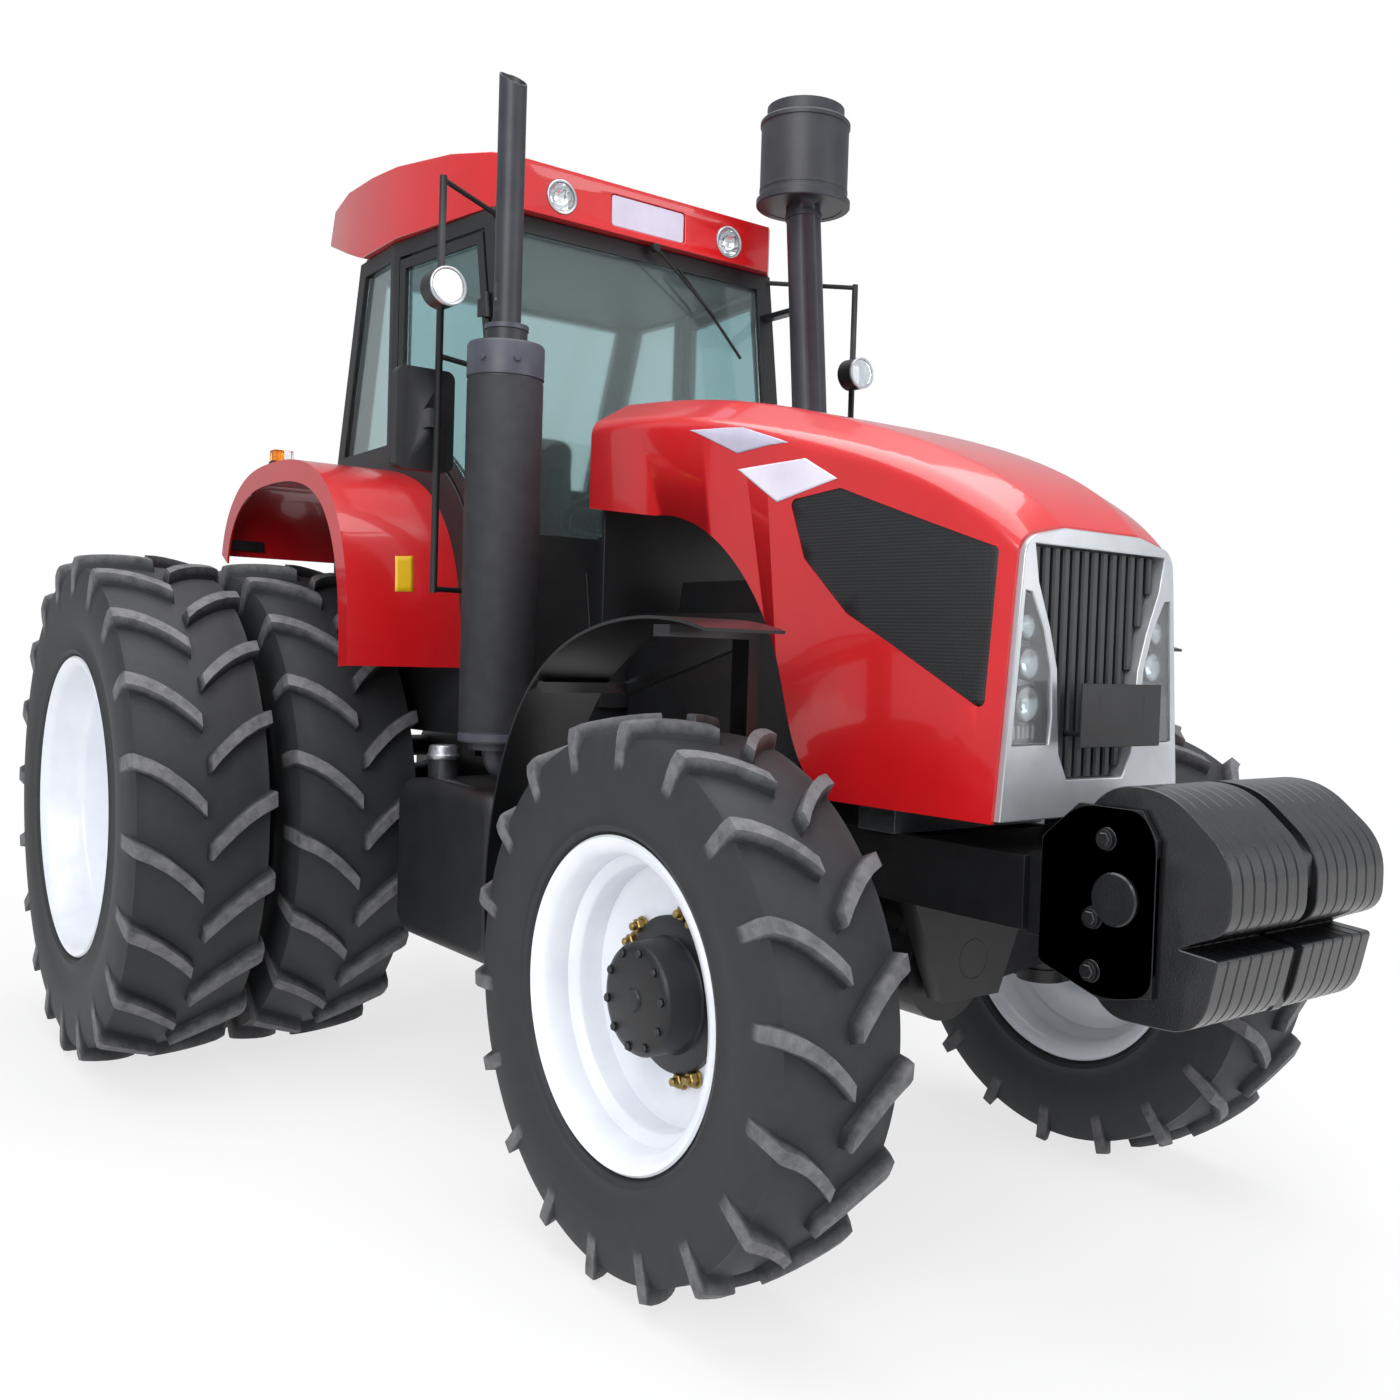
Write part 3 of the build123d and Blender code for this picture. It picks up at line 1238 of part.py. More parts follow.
# Rear fenders: a sheet bent over the twin wheels' inner tyre, with a turned-down outer lip.
FENDER_CURVE = [
    (REAR_AXLE_X - 366, 1912),
    (REAR_AXLE_X - 274, 2090),
    (REAR_AXLE_X - 93, 2200),
    (REAR_AXLE_X + 180, 2240),
    (REAR_AXLE_X + 480, 2228),
    (REAR_AXLE_X + 770, 2120),
    (REAR_AXLE_X + 920, 1930),
    (REAR_AXLE_X + 985, 1700),
    (REAR_AXLE_X + 1000, 1490),
]


def parallel(points, amount):
    # Moves each point toward the curve's inner side, square to the line between its neighbours.
    moved = []
    for index, (x, z) in enumerate(points):
        before = points[max(index - 1, 0)]
        after = points[min(index + 1, len(points) - 1)]
        run = Vector(after[0] - before[0], after[1] - before[1], 0).normalized()
        moved.append((x + run.Y * amount, z - run.X * amount))
    return moved


def curve_band(points, amount):
    with BuildSketch(Plane.XY, mode=Mode.PRIVATE) as band:
        with BuildLine():
            inner = parallel(points, amount)
            Spline(*points)
            Line(points[-1], inner[-1])
            Spline(*reversed(inner))
            Line(inner[0], points[0])
        make_face()
    return band.sketch


cab_clearance = cab_volume(-SEAT_GAP)
for side, name in ((1, "left"), (-1, "right")):
    with BuildPart() as rear_fender:
        with BuildSketch(fin(0, side * 560, 0, (1, 0, 0), (0, -1, 0))):
            add(curve_band(FENDER_CURVE, FENDER_SHEET))
        extrude(amount=-side * (FENDER_OUTER_Y - 560))
        with BuildSketch(fin(0, side * (FENDER_OUTER_Y - FENDER_SHEET), 0, (1, 0, 0), (0, -1, 0))):
            add(curve_band(FENDER_CURVE, 80))
        extrude(amount=-side * FENDER_SHEET)
        add(cab_clearance, mode=Mode.SUBTRACT)
    save(rear_fender.part, "rear_fender_" + name)

# Tail lamps at the fenders' rear ends and marker lamps on their tops.
fender_room = Pos(-SEAT_GAP, SEAT_GAP) * curve_band(FENDER_CURVE, 90)

with BuildPart() as fender_lamps:
    for side in (1, -1):
        with BuildSketch(fin(0, side * 880, 0, (1, 0, 0), (0, -1, 0))):
            Polygon(
                (REAR_AXLE_X - 410, 1930),
                (REAR_AXLE_X - 330, 1930),
                (REAR_AXLE_X - 270, 2036),
                (REAR_AXLE_X - 365, 2036),
                align=None,
            )
            add(fender_room, mode=Mode.SUBTRACT)
        extrude(amount=-side * 150)
        with BuildSketch(fin(0, side * 960, 0, (1, 0, 0), (0, -1, 0))):
            with Locations((REAR_AXLE_X + 180, 2262)):
                Rectangle(60, 70)
            add(fender_room, mode=Mode.SUBTRACT)
        extrude(amount=-side * 80)

with BuildPart() as lamps:
    add(roof_lamps.part)
    add(fender_lamps.part)
save(lamps.part, "lamps")

# Fuel tank on the right, with its filler neck and the two straps that reach the flywheel housing.
with BuildPart() as tank:
    with BuildSketch(fin(0, -TANK_INNER_Y, 0, (1, 0, 0), (0, -1, 0))):
        with Locations(((TANK_REAR_X + TANK_FRONT_X) / 2, (TANK_LOW_Z + TANK_TOP_Z) / 2)):
            RectangleRounded(TANK_FRONT_X - TANK_REAR_X, TANK_TOP_Z - TANK_LOW_Z, 90)
    extrude(amount=TANK_OUTER_Y - TANK_INNER_Y)
    outer_edges = tank.faces().sort_by(Axis.Y)[0].edges()
    fillet(outer_edges, 50)
    with BuildSketch(Plane.XY.offset(TANK_TOP_Z - 10)):
        with Locations((TANK_REAR_X + 120, -740)):
            Circle(50)
    extrude(amount=90)
    for strap_x in (160, 330):
        with BuildSketch(fin(strap_x, -BELL_HALF - SEAT_GAP, 1020, (1, 0, 0), (0, -1, 0))):
            Rectangle(60, 90)
        extrude(amount=TANK_INNER_Y - BELL_HALF + 10)
save(tank.part, "fuel_tank")

# Battery box on the left, opposite the tank's front part.
BOX_REAR_X = REAR_AXLE_X + 1360
with BuildPart() as battery_box:
    with BuildSketch(fin(0, TANK_INNER_Y, 0, (1, 0, 0), (0, -1, 0))):
        with Locations(((BOX_REAR_X + TANK_FRONT_X) / 2, 850)):
            Rectangle(TANK_FRONT_X - BOX_REAR_X, 480)
    extrude(amount=TANK_INNER_Y - TANK_OUTER_Y + 60)
    with BuildSketch(Plane.XY.offset(1040)):
        with Locations(((BOX_REAR_X + TANK_FRONT_X) / 2, (TANK_INNER_Y + TANK_OUTER_Y - 60) / 2)):
            Rectangle(TANK_FRONT_X - BOX_REAR_X, TANK_OUTER_Y - TANK_INNER_Y - 40)
    extrude(amount=50)
    for strap_x in (160, 330):
        with BuildSketch(fin(strap_x, BELL_HALF + SEAT_GAP, 980, (1, 0, 0), (0, -1, 0))):
            Rectangle(60, 90)
        extrude(amount=BELL_HALF - TANK_INNER_Y - 10)

# Steps below the left door: two side plates and four treads.
STEP_FRONT_X = BOX_REAR_X - SEAT_GAP
with BuildPart() as steps:
    for plate_x in (TANK_REAR_X, STEP_FRONT_X - 10):
        with BuildSketch(Plane.YZ.offset(plate_x)):
            Polygon(
                (TANK_INNER_Y, 1160),
                (TANK_OUTER_Y - 60, 1160),
                (TANK_OUTER_Y, 470),
                (TANK_OUTER_Y - 190, 470),
                (TANK_INNER_Y, 900),
                align=None,
            )
        extrude(amount=10)
    for index, tread_z in enumerate((480, 700, 920, 1140)):
        tread_out = TANK_OUTER_Y - 15 * index
        with BuildSketch(Plane.XY.offset(tread_z)):
            with Locations(((TANK_REAR_X + STEP_FRONT_X) / 2, tread_out - 85 - 3)):
                Rectangle(STEP_FRONT_X - TANK_REAR_X, 170)
        extrude(amount=20)

with BuildPart() as left_side_gear:
    add(steps.part)
    add(battery_box.part)
save(left_side_gear.part, "steps_and_battery_box")

# Exhaust: an elbow from the engine, the muffler and the raked tail pipe.
ELBOW_Z = 1165
ELBOW_R = 70
with BuildPart() as exhaust:
    with BuildLine() as elbow_path:
        Line((MUFFLER_X, -BELL_HALF - SEAT_GAP, ELBOW_Z), (MUFFLER_X, -MUFFLER_Y + ELBOW_R, ELBOW_Z))
        ThreePointArc(
            (MUFFLER_X, -MUFFLER_Y + ELBOW_R, ELBOW_Z),
            (
                MUFFLER_X,
                -MUFFLER_Y + ELBOW_R * (1 - sin(pi / 4)),
                ELBOW_Z + ELBOW_R * (1 - cos(pi / 4)),
            ),
            (MUFFLER_X, -MUFFLER_Y, ELBOW_Z + ELBOW_R),
        )
        Line(
            (MUFFLER_X, -MUFFLER_Y, ELBOW_Z + ELBOW_R),
            (MUFFLER_X, -MUFFLER_Y, MUFFLER_LOW_Z + 20),
        )
    with BuildSketch(fin(MUFFLER_X, -BELL_HALF - SEAT_GAP, ELBOW_Z, (1, 0, 0), (0, -1, 0))):
        Circle(EXHAUST_R)
    sweep()
    for low_z, high_z, radius in (
        (MUFFLER_LOW_Z, MUFFLER_LOW_Z + 24, MUFFLER_R - 30),
        (MUFFLER_LOW_Z + 24, MUFFLER_TOP_Z, MUFFLER_R),
        (MUFFLER_TOP_Z, MUFFLER_TOP_Z + 60, 66),
    ):
        with BuildSketch(Plane.XY.offset(low_z)):
            with Locations((MUFFLER_X, -MUFFLER_Y)):
                Circle(radius)
        extrude(amount=high_z - low_z)
    with BuildSketch(Plane.XY.offset(MUFFLER_TOP_Z)):
        with Locations((MUFFLER_X, -MUFFLER_Y)):
            Circle(EXHAUST_R)
    extrude(amount=EXHAUST_TOP_Z - MUFFLER_TOP_Z)
    with BuildSketch(Plane.XY.offset(MUFFLER_TOP_Z + 200)):
        with Locations((MUFFLER_X, -MUFFLER_Y)):
            Circle(EXHAUST_R - 4)
    extrude(amount=EXHAUST_TOP_Z - MUFFLER_TOP_Z, mode=Mode.SUBTRACT)
    # The tail pipe's mouth is cut at a slant that faces forward.
    with BuildSketch(Plane.XZ):
        Polygon(
            (MUFFLER_X - 60, EXHAUST_TOP_Z + 16),
            (MUFFLER_X + 60, EXHAUST_TOP_Z - 70),
            (MUFFLER_X + 60, EXHAUST_TOP_Z + 60),
            (MUFFLER_X - 60, EXHAUST_TOP_Z + 60),
            align=None,
        )
    extrude(amount=MUFFLER_Y + 100, mode=Mode.SUBTRACT)
save(exhaust.part, "exhaust_stack")

# Intake: a pipe from the cylinder head leans back up to the air cleaner's drum.
INTAKE_LOW = (250, 555, 1720)
INTAKE_HIGH = (90, 560, CLEANER_LOW_Z + 20)
with BuildPart() as intake:
    with BuildLine():
        Polyline((INTAKE_LOW[0], ENGINE_HALF + SEAT_GAP, 1600), (INTAKE_LOW[0], 460, 1600), INTAKE_LOW, INTAKE_HIGH)
    with BuildSketch(fin(INTAKE_LOW[0], ENGINE_HALF + SEAT_GAP, 1600, (1, 0, 0), (0, 1, 0))):
        Circle(INTAKE_R)
    sweep(transition=Transition.ROUND)
    with BuildSketch(Plane.XY.offset(CLEANER_LOW_Z)):
        with Locations((INTAKE_HIGH[0], INTAKE_HIGH[1])):
            Circle(CLEANER_R)
    extrude(amount=CLEANER_TOP_Z - CLEANER_LOW_Z - 60)
    with BuildSketch(Plane.XY.offset(CLEANER_TOP_Z - 60)):
        with Locations((INTAKE_HIGH[0], INTAKE_HIGH[1])):
            Circle(CLEANER_R - 20)
    extrude(amount=60)
    # Bracket to the front pillar.
    with BuildSketch(Plane.XY.offset(2900)):
        with Locations((-20, INTAKE_Y + 15)):
            Rectangle(300, 40)
    extrude(amount=20)
    add(cab_clearance, mode=Mode.SUBTRACT)
save(intake.part, "intake_stack")

# Mirrors: an upright tube on three arms at each side, with a work lamp and the mirror's housing.
MIRROR_X = 30
MIRROR_Y = 900
TUBE_R = 12
with BuildPart() as mirrors:
    for side in (1, -1):
        with BuildSketch(Plane.XY.offset(1738)):
            with Locations((MIRROR_X, side * MIRROR_Y)):
                Circle(TUBE_R)
        extrude(amount=3075 - 1738)
        for arm_z in (1750, 2500, 3063):
            foot = Vector(cab_front_x(arm_z) - 32, side * 560, arm_z)
            run = Vector(MIRROR_X, side * MIRROR_Y, arm_z) - foot
            with BuildSketch(Plane(origin=foot, z_dir=run)):
                Circle(TUBE_R - 3)
            extrude(amount=run.length)
        with BuildSketch(Plane.YZ.offset(MIRROR_X - 20)):
            with Locations((side * MIRROR_Y, 2713)):
                Circle(62)
        extrude(amount=72)
        with BuildSketch(Plane.YZ.offset(MIRROR_X - 90)):
            with Locations((side * (MIRROR_Y + 20), 2300)):
                RectangleRounded(200, 330, 30)
        extrude(amount=45)
        with BuildSketch(Plane.YZ.offset(MIRROR_X - 60)):
            with Locations((side * (MIRROR_Y + 5), 2300)):
                Rectangle(50, 60)
        extrude(amount=60)
    add(cab_clearance, mode=Mode.SUBTRACT)
save(mirrors.part, "mirrors")

# Drawbar and the two blocks that hang it from the axle housing.
with BuildPart() as drawbar:
    with BuildSketch(Plane.XY.offset(DRAWBAR_Z - 20)):
        with Locations(((DRAWBAR_PIN_X - 60 + REAR_AXLE_X + 180) / 2, 0)):
            RectangleRounded(REAR_AXLE_X + 180 - DRAWBAR_PIN_X + 60, 90, 30)
        with Locations((DRAWBAR_PIN_X, 0)):
            Circle(DRAWBAR_PIN_R, mode=Mode.SUBTRACT)
    extrude(amount=40)
    for block_x in (REAR_AXLE_X - 150, REAR_AXLE_X + 120):
        with BuildSketch(Plane.XY.offset(DRAWBAR_Z + 10)):
            with Locations((block_x, 0)):
                Rectangle(80, 160)
        extrude(amount=560 - SEAT_GAP - DRAWBAR_Z - 10)

with BuildPart() as rear_frame:
    add(rear_axle.part)
    add(drawbar.part)
save(rear_frame.part, "rear_axle_housing")

# Lower links, one at each side, with a ball at the rear end.
with BuildPart() as lower_links:
    for side in (1, -1):
        with BuildSketch(fin(0, side * (LINK_Y - LINK_BAR_T / 2), 0, (1, 0, 0), (0, -1, 0))):
            Polygon(
                (LINK_PIVOT_X, LINK_Z - 36),
                (LINK_PIVOT_X, LINK_Z + 36),
                (LINK_PIVOT_X - LIFT_ARM, LINK_Z + 46),
                (BALL_X, LINK_Z + 32),
                (BALL_X, LINK_Z - 32),
                (LINK_PIVOT_X - LIFT_ARM, LINK_Z - 46),
                align=None,
            )
            with Locations((LINK_PIVOT_X, LINK_Z)):
                Circle(38)
        extrude(amount=-side * LINK_BAR_T)
        with BuildSketch(fin(0, side * (LINK_Y - BALL_W / 2), 0, (1, 0, 0), (0, -1, 0))):
            with Locations((BALL_X, LINK_Z)):
                Circle(BALL_R)
        extrude(amount=-side * BALL_W)
        with BuildSketch(fin(0, side * (LINK_Y - BALL_W / 2), 0, (1, 0, 0), (0, -1, 0))):
            with Locations((BALL_X, LINK_Z)):
                Circle(BALL_BORE_R)
        extrude(amount=-side * BALL_W, mode=Mode.SUBTRACT)
save(lower_links.part, "lower_links")

# Lift arms on their shaft ends, and the rods that carry the lower links.
LIFT_SHAFT_X = LINK_PIVOT_X + 100
with BuildPart() as lift_arms:
    for side in (1, -1):
        with BuildSketch(fin(LIFT_SHAFT_X, side * (200 + SEAT_GAP), LIFT_SHAFT_Z, (1, 0, 0), (0, -1, 0))):
            Circle(46)
        extrude(amount=-side * 165)
        with BuildSketch(fin(0, side * 340, 0, (1, 0, 0), (0, -1, 0))):
            Polygon(
                (LIFT_SHAFT_X, LIFT_SHAFT_Z - 46),
                (LIFT_SHAFT_X, LIFT_SHAFT_Z + 46),
                (LIFT_SHAFT_X - LIFT_ARM, LIFT_SHAFT_Z + 28),
                (LIFT_SHAFT_X - LIFT_ARM, LIFT_SHAFT_Z - 28),
                align=None,
            )
            with Locations((LIFT_SHAFT_X - LIFT_ARM, LIFT_SHAFT_Z)):
                Circle(28)
        extrude(amount=-side * 25)
save(lift_arms.part, "lift_arms")

with BuildPart() as lift_rods:
    rod_inner_y = 365 + SEAT_GAP
    rod_outer_y = LINK_Y - LINK_BAR_T / 2 - SEAT_GAP
    rod_y = (rod_inner_y + rod_outer_y) / 2
    for side in (1, -1):
        low = Vector(LINK_PIVOT_X - LIFT_ARM, side * rod_y, LINK_Z)
        high = Vector(LIFT_SHAFT_X - LIFT_ARM, side * rod_y, LIFT_SHAFT_Z)
        with BuildSketch(Plane(origin=low, z_dir=high - low)):
            Circle(LIFT_ROD_R)
        extrude(amount=(high - low).length)
        for eye in (low, high):
            with BuildSketch(fin(eye.X, side * rod_inner_y, eye.Z, (1, 0, 0), (0, -1, 0))):
                Circle(28)
            extrude(amount=-side * (rod_outer_y - rod_inner_y))
save(lift_rods.part, "lift_rods")
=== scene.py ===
import json
import math

import bmesh
import bpy
import numpy as np
from bpy.props import FloatProperty, IntProperty, PointerProperty, StringProperty
from mathutils import Matrix, Vector


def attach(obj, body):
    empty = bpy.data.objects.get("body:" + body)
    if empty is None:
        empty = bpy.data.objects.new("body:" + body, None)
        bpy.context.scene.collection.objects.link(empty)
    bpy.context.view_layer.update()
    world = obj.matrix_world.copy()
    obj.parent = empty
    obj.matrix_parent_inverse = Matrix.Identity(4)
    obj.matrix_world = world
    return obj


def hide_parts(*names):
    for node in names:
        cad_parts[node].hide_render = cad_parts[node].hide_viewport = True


bl_info = {
    "name": "Farm Tractor Dressing",
    "version": (1, 0, 0),
    "blender": (4, 5, 0),
    "location": "3D View > Sidebar > Tractor",
    "description": "Builds the visible pieces of a four-wheel-drive farm tractor around its fixed frame",
    "category": "Object",
}

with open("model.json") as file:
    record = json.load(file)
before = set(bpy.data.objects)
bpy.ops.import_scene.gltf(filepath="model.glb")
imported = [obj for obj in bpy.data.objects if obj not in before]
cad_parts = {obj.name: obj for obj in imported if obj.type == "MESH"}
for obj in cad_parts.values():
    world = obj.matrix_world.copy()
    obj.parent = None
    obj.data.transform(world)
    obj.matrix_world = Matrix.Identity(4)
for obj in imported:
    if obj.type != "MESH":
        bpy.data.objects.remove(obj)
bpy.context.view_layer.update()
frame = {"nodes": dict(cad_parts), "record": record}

# Lengths are metres. +X points forward, +Y to the tractor's left, +Z up.
FRONT_AXLE = np.array([1.35, 0.0, 0.71])
REAR_AXLE = np.array([-1.30, 0.0, 0.935])
FRONT_WHEEL_Y = 0.86
REAR_WHEEL_Y = (0.94, 1.465)
SIDES = ((1, "left"), (-1, "right"))
UP = (0, 0, 1)
# The plane of an outline that faces forward, and of one that faces sideways.
YZ = ((0, 1, 0), UP)
XZ = ((1, 0, 0), UP)

# Each tyre's outer radius, width, rim radius and half the distance between its beads.
FRONT_TYRE = (0.7095, 0.374, 0.411, 0.148)
REAR_TYRE = (0.9343, 0.466, 0.551, 0.200)
BAR_LEAN = 1.15
# Points this close become one: in the scene's own shapes, and in a CAD node's facets.
SHAPE_MERGE = 0.000005
NODE_MERGE = 0.00002
FLAT_ANGLE = math.radians(0.5)
NODE_SHARP_ANGLE = math.radians(35)
# The grille's front face lies ahead of this plane, its side vents behind it.
VENTS_END_X = 1.925


# ---- Shapes ----


def lattice(points, wrap_u=False, wrap_v=False):
    """A grid of points (rows, columns, 3) becomes quads between neighbouring rows and columns."""
    rows, columns = points.shape[:2]
    u = np.arange(rows if wrap_u else rows - 1)
    v = np.arange(columns if wrap_v else columns - 1)
    a, b = np.meshgrid(u, v, indexing="ij")
    a2, b2 = (a + 1) % rows, (b + 1) % columns
    quads = np.stack([a * columns + b, a2 * columns + b, a2 * columns + b2, a * columns + b2], axis=-1)
    return points.reshape(-1, 3), quads.reshape(-1, 4), []


def gathered(shapes):
    """Several shapes become one list of points with the faces' numbers moved along."""
    points, quads, ngons, base = [], [], [], 0
    for p, q, n in shapes:
        points.append(p)
        if len(q):
            quads.append(np.asarray(q) + base)
        ngons += [np.asarray(face) + base for face in n]
        base += len(p)
    quads = np.concatenate(quads) if quads else np.zeros((0, 4), int)
    return np.concatenate(points), quads, ngons


def axes_for(direction):
    """Two unit vectors square to a direction and to each other."""
    d = np.asarray(direction, float) / np.linalg.norm(direction)
    side = np.cross((0.0, 0.0, 1.0) if abs(d[2]) < 0.9 else (1.0, 0.0, 0.0), d)
    side /= np.linalg.norm(side)
    return side, np.cross(d, side)


def lathe(profile, centre, direction, segments=64, capped=False):
    """A profile of (distance along the axis, radius) turned once round the axis."""
    profile = np.asarray(profile, float)
    d = np.asarray(direction, float) / np.linalg.norm(direction)
    a, b = axes_for(d)
    t = np.linspace(0, 2 * np.pi, segments, endpoint=False)
    ring = np.cos(t)[:, None] * a + np.sin(t)[:, None] * b
    grid = np.asarray(centre, float) + profile[:, None, 0:1] * d + profile[:, None, 1:2] * ring[None]
    points, quads, ngons = lattice(grid[::-1], wrap_v=True)
    if capped:
        count = len(profile)
        ngons = [np.arange(segments)[::-1], np.arange(segments) + (count - 1) * segments]
    return points, quads, ngons


def cylinder(centre, direction, radius, length, bevel=0.0, segments=32):
    """A closed round bar that starts at centre, with its two rims bevelled."""
    b = min(bevel, radius * 0.5, length * 0.45)
    if b:
        profile = [(0, radius - b), (b, radius), (length - b, radius), (length, radius - b)]
    else:
        profile = [(0, radius), (length, radius)]
    return lathe(profile, centre, direction, segments, capped=True)


def rounded(corners, radius, steps=5):
    """A polygon's corners replaced by arcs of about the given radius, no longer than half a side."""
    corners = np.asarray(corners, float)
    before = np.roll(corners, 1, axis=0) - corners
    after = np.roll(corners, -1, axis=0) - corners
    len_a = np.linalg.norm(before, axis=1)
    len_b = np.linalg.norm(after, axis=1)
    reach = np.minimum(radius, 0.48 * np.minimum(len_a, len_b))
    start = corners + before / len_a[:, None] * reach[:, None]
    end = corners + after / len_b[:, None] * reach[:, None]
    t = np.linspace(0, 1, steps + 1)[None, :, None]
    curve = (1 - t) ** 2 * start[:, None] + 2 * t * (1 - t) * corners[:, None] + t ** 2 * end[:, None]
    return curve.reshape(-1, 2)


def slab(outline, origin, u, v, depth, bevel=0.0):
    """A flat outline in the plane (u, v) pushed along u x v by depth, with both rims bevelled inward."""
    outline = np.asarray(outline, float)
    x, y = outline[:, 0], outline[:, 1]
    area = 0.5 * np.sum(x * np.roll(y, -1) - np.roll(x, -1) * y)
    if area < 0:
        outline = outline[::-1]
    u, v = np.asarray(u, float), np.asarray(v, float)
    w = np.cross(u, v)
    run = np.roll(outline, -1, axis=0) - np.roll(outline, 1, axis=0)
    run /= np.maximum(np.linalg.norm(run, axis=1), 1e-9)[:, None]
    inward = np.stack([-run[:, 1], run[:, 0]], axis=1)
    inset = outline + inward * bevel
    flip = depth < 0
    rings = [(inset, 0.0), (outline, bevel), (outline, abs(depth) - bevel), (inset, abs(depth))]
    if not bevel:
        rings = [(outline, 0.0), (outline, abs(depth))]
    sign = -1.0 if flip else 1.0
    grid = np.stack([
        np.asarray(origin, float) + p[:, 0:1] * u + p[:, 1:2] * v + sign * d * w for p, d in rings
    ])
    if not flip:
        grid = grid[::-1]
    points, quads, _ = lattice(grid, wrap_v=True)
    count = outline.shape[0]
    last = (len(rings) - 1) * count
    ngons = [np.arange(count)[::-1], np.arange(count) + last]
    return points, quads, ngons


def box(low, high, bevel=0.0):
    """A block between two corners, its upright edges rounded and its rims bevelled."""
    low, high = np.minimum(low, high), np.maximum(low, high)
    size = high - low
    outline = np.array([(0, 0), (size[0], 0), (size[0], size[1]), (0, size[1])])
    if bevel:
        outline = rounded(outline, bevel, 2)
    return slab(outline, low, (1, 0, 0), (0, 1, 0), size[2], bevel * 0.6)


def pipe(path, radius, segments=14, capped=True):
    """A circle carried along a path, kept square to it; the radius may change along the way."""
    path = np.asarray(path, float)
    run = np.gradient(path, axis=0)
    run /= np.linalg.norm(run, axis=1)[:, None]
    side, _ = axes_for(run[0])
    sides = [side]
    for d in run[1:]:
        s = sides[-1] - d * np.dot(sides[-1], d)
        sides.append(s / np.linalg.norm(s))
    sides = np.array(sides)
    up = np.cross(run, sides)
    t = np.linspace(0, 2 * np.pi, segments, endpoint=False)
    r = np.broadcast_to(radius, len(path))[:, None, None]
    ring = np.cos(t)[None, :, None] * sides[:, None] + np.sin(t)[None, :, None] * up[:, None]
    grid = path[:, None] + r * ring
    points, quads, _ = lattice(grid[::-1], wrap_v=True)
    last = (len(path) - 1) * segments
    ngons = [np.arange(segments)[::-1], np.arange(segments) + last] if capped else []
    return points, quads, ngons


def hex_bolt(centre, direction, across, height):
    """A six-sided bolt head on a washer."""
    washer = cylinder(centre, direction, across * 0.72, height * 0.25, 0.001, 18)
    d = np.asarray(direction, float) / np.linalg.norm(direction)
    head = cylinder(np.asarray(centre) + d * height * 0.2, d, across * 0.56, height * 0.8, across * 0.08, 6)
    return gathered([washer, head])


def faces_outward(mesh, merge=0.0):
    """Merges points closer than merge, as at a turned shape's poles, and turns faces outward."""
    work = bmesh.new()
    work.from_mesh(mesh)
    if merge:
        bmesh.ops.remove_doubles(work, verts=work.verts, dist=merge)
    bmesh.ops.recalc_face_normals(work, faces=work.faces)
    work.to_mesh(mesh)
    work.free()


def placed(name, mesh, material, body, replaces=()):
    """An object at the origin with one material, which rides on a body and may stand in for CAD nodes."""
    mesh.materials.clear()
    mesh.materials.append(material)
    obj = bpy.data.objects.new(name, mesh)
    bpy.context.scene.collection.objects.link(obj)
    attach(obj, body)
    if replaces:
        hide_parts(*replaces)
    return obj


def piece(name, shapes, material, body, replaces=(), smooth=40, attribute=None):
    """Puts shapes into one mesh object; edges sharper than smooth, in degrees, stay sharp."""
    points, quads, ngons = gathered(shapes)
    mesh = bpy.data.meshes.new(name)
    sizes = np.concatenate([np.full(len(quads), 4), np.array([len(n) for n in ngons], int)]).astype(np.int32)
    loops = np.concatenate([quads.reshape(-1)] + ngons).astype(np.int32)
    mesh.vertices.add(len(points))
    mesh.vertices.foreach_set("co", points.astype(np.float32).ravel())
    mesh.loops.add(len(loops))
    mesh.loops.foreach_set("vertex_index", loops)
    mesh.polygons.add(len(sizes))
    mesh.polygons.foreach_set("loop_start", np.concatenate([[0], np.cumsum(sizes)[:-1]]).astype(np.int32))
    mesh.update(calc_edges=True)
    mesh.validate()
    if attribute is not None:
        label, values = attribute
        layer = mesh.attributes.new(label, "FLOAT", "POINT")
        layer.data.foreach_set("value", values.astype(np.float32).ravel())
    faces_outward(mesh, SHAPE_MERGE)
    if smooth:
        mesh.shade_smooth()
        mesh.set_sharp_from_angle(angle=math.radians(smooth))
    return placed(name, mesh, material, body, replaces)


def frame_mesh(node, name, edit):
    """A copy of a CAD node's mesh, changed by edit as a BMesh."""
    mesh = frame["nodes"][node].data.copy()
    mesh.name = name
    work = bmesh.new()
    work.from_mesh(mesh)
    edit(work)
    work.to_mesh(mesh)
    work.free()
    return mesh


def dressed_node(node, material, bevel=0.0):
    """A copy of a CAD node with its doubles merged, so that its curved faces shade smoothly."""

    def merge_facets(work):
        bmesh.ops.remove_doubles(work, verts=work.verts, dist=NODE_MERGE)
        bmesh.ops.dissolve_limit(
            work, angle_limit=FLAT_ANGLE, verts=work.verts, edges=work.edges, delimit=set()
        )

    mesh = frame_mesh(node, "dressed_" + node, merge_facets)
    mesh.shade_smooth()
    mesh.set_sharp_from_angle(angle=NODE_SHARP_ANGLE)
    obj = placed("dressed_" + node, mesh, material, body_named(node), (node,))
    if bevel:
        edges = obj.modifiers.new("edges", "BEVEL")
        edges.width = bevel
        edges.segments = 2
        edges.limit_method = "ANGLE"
        edges.angle_limit = NODE_SHARP_ANGLE
        edges.use_clamp_overlap = True


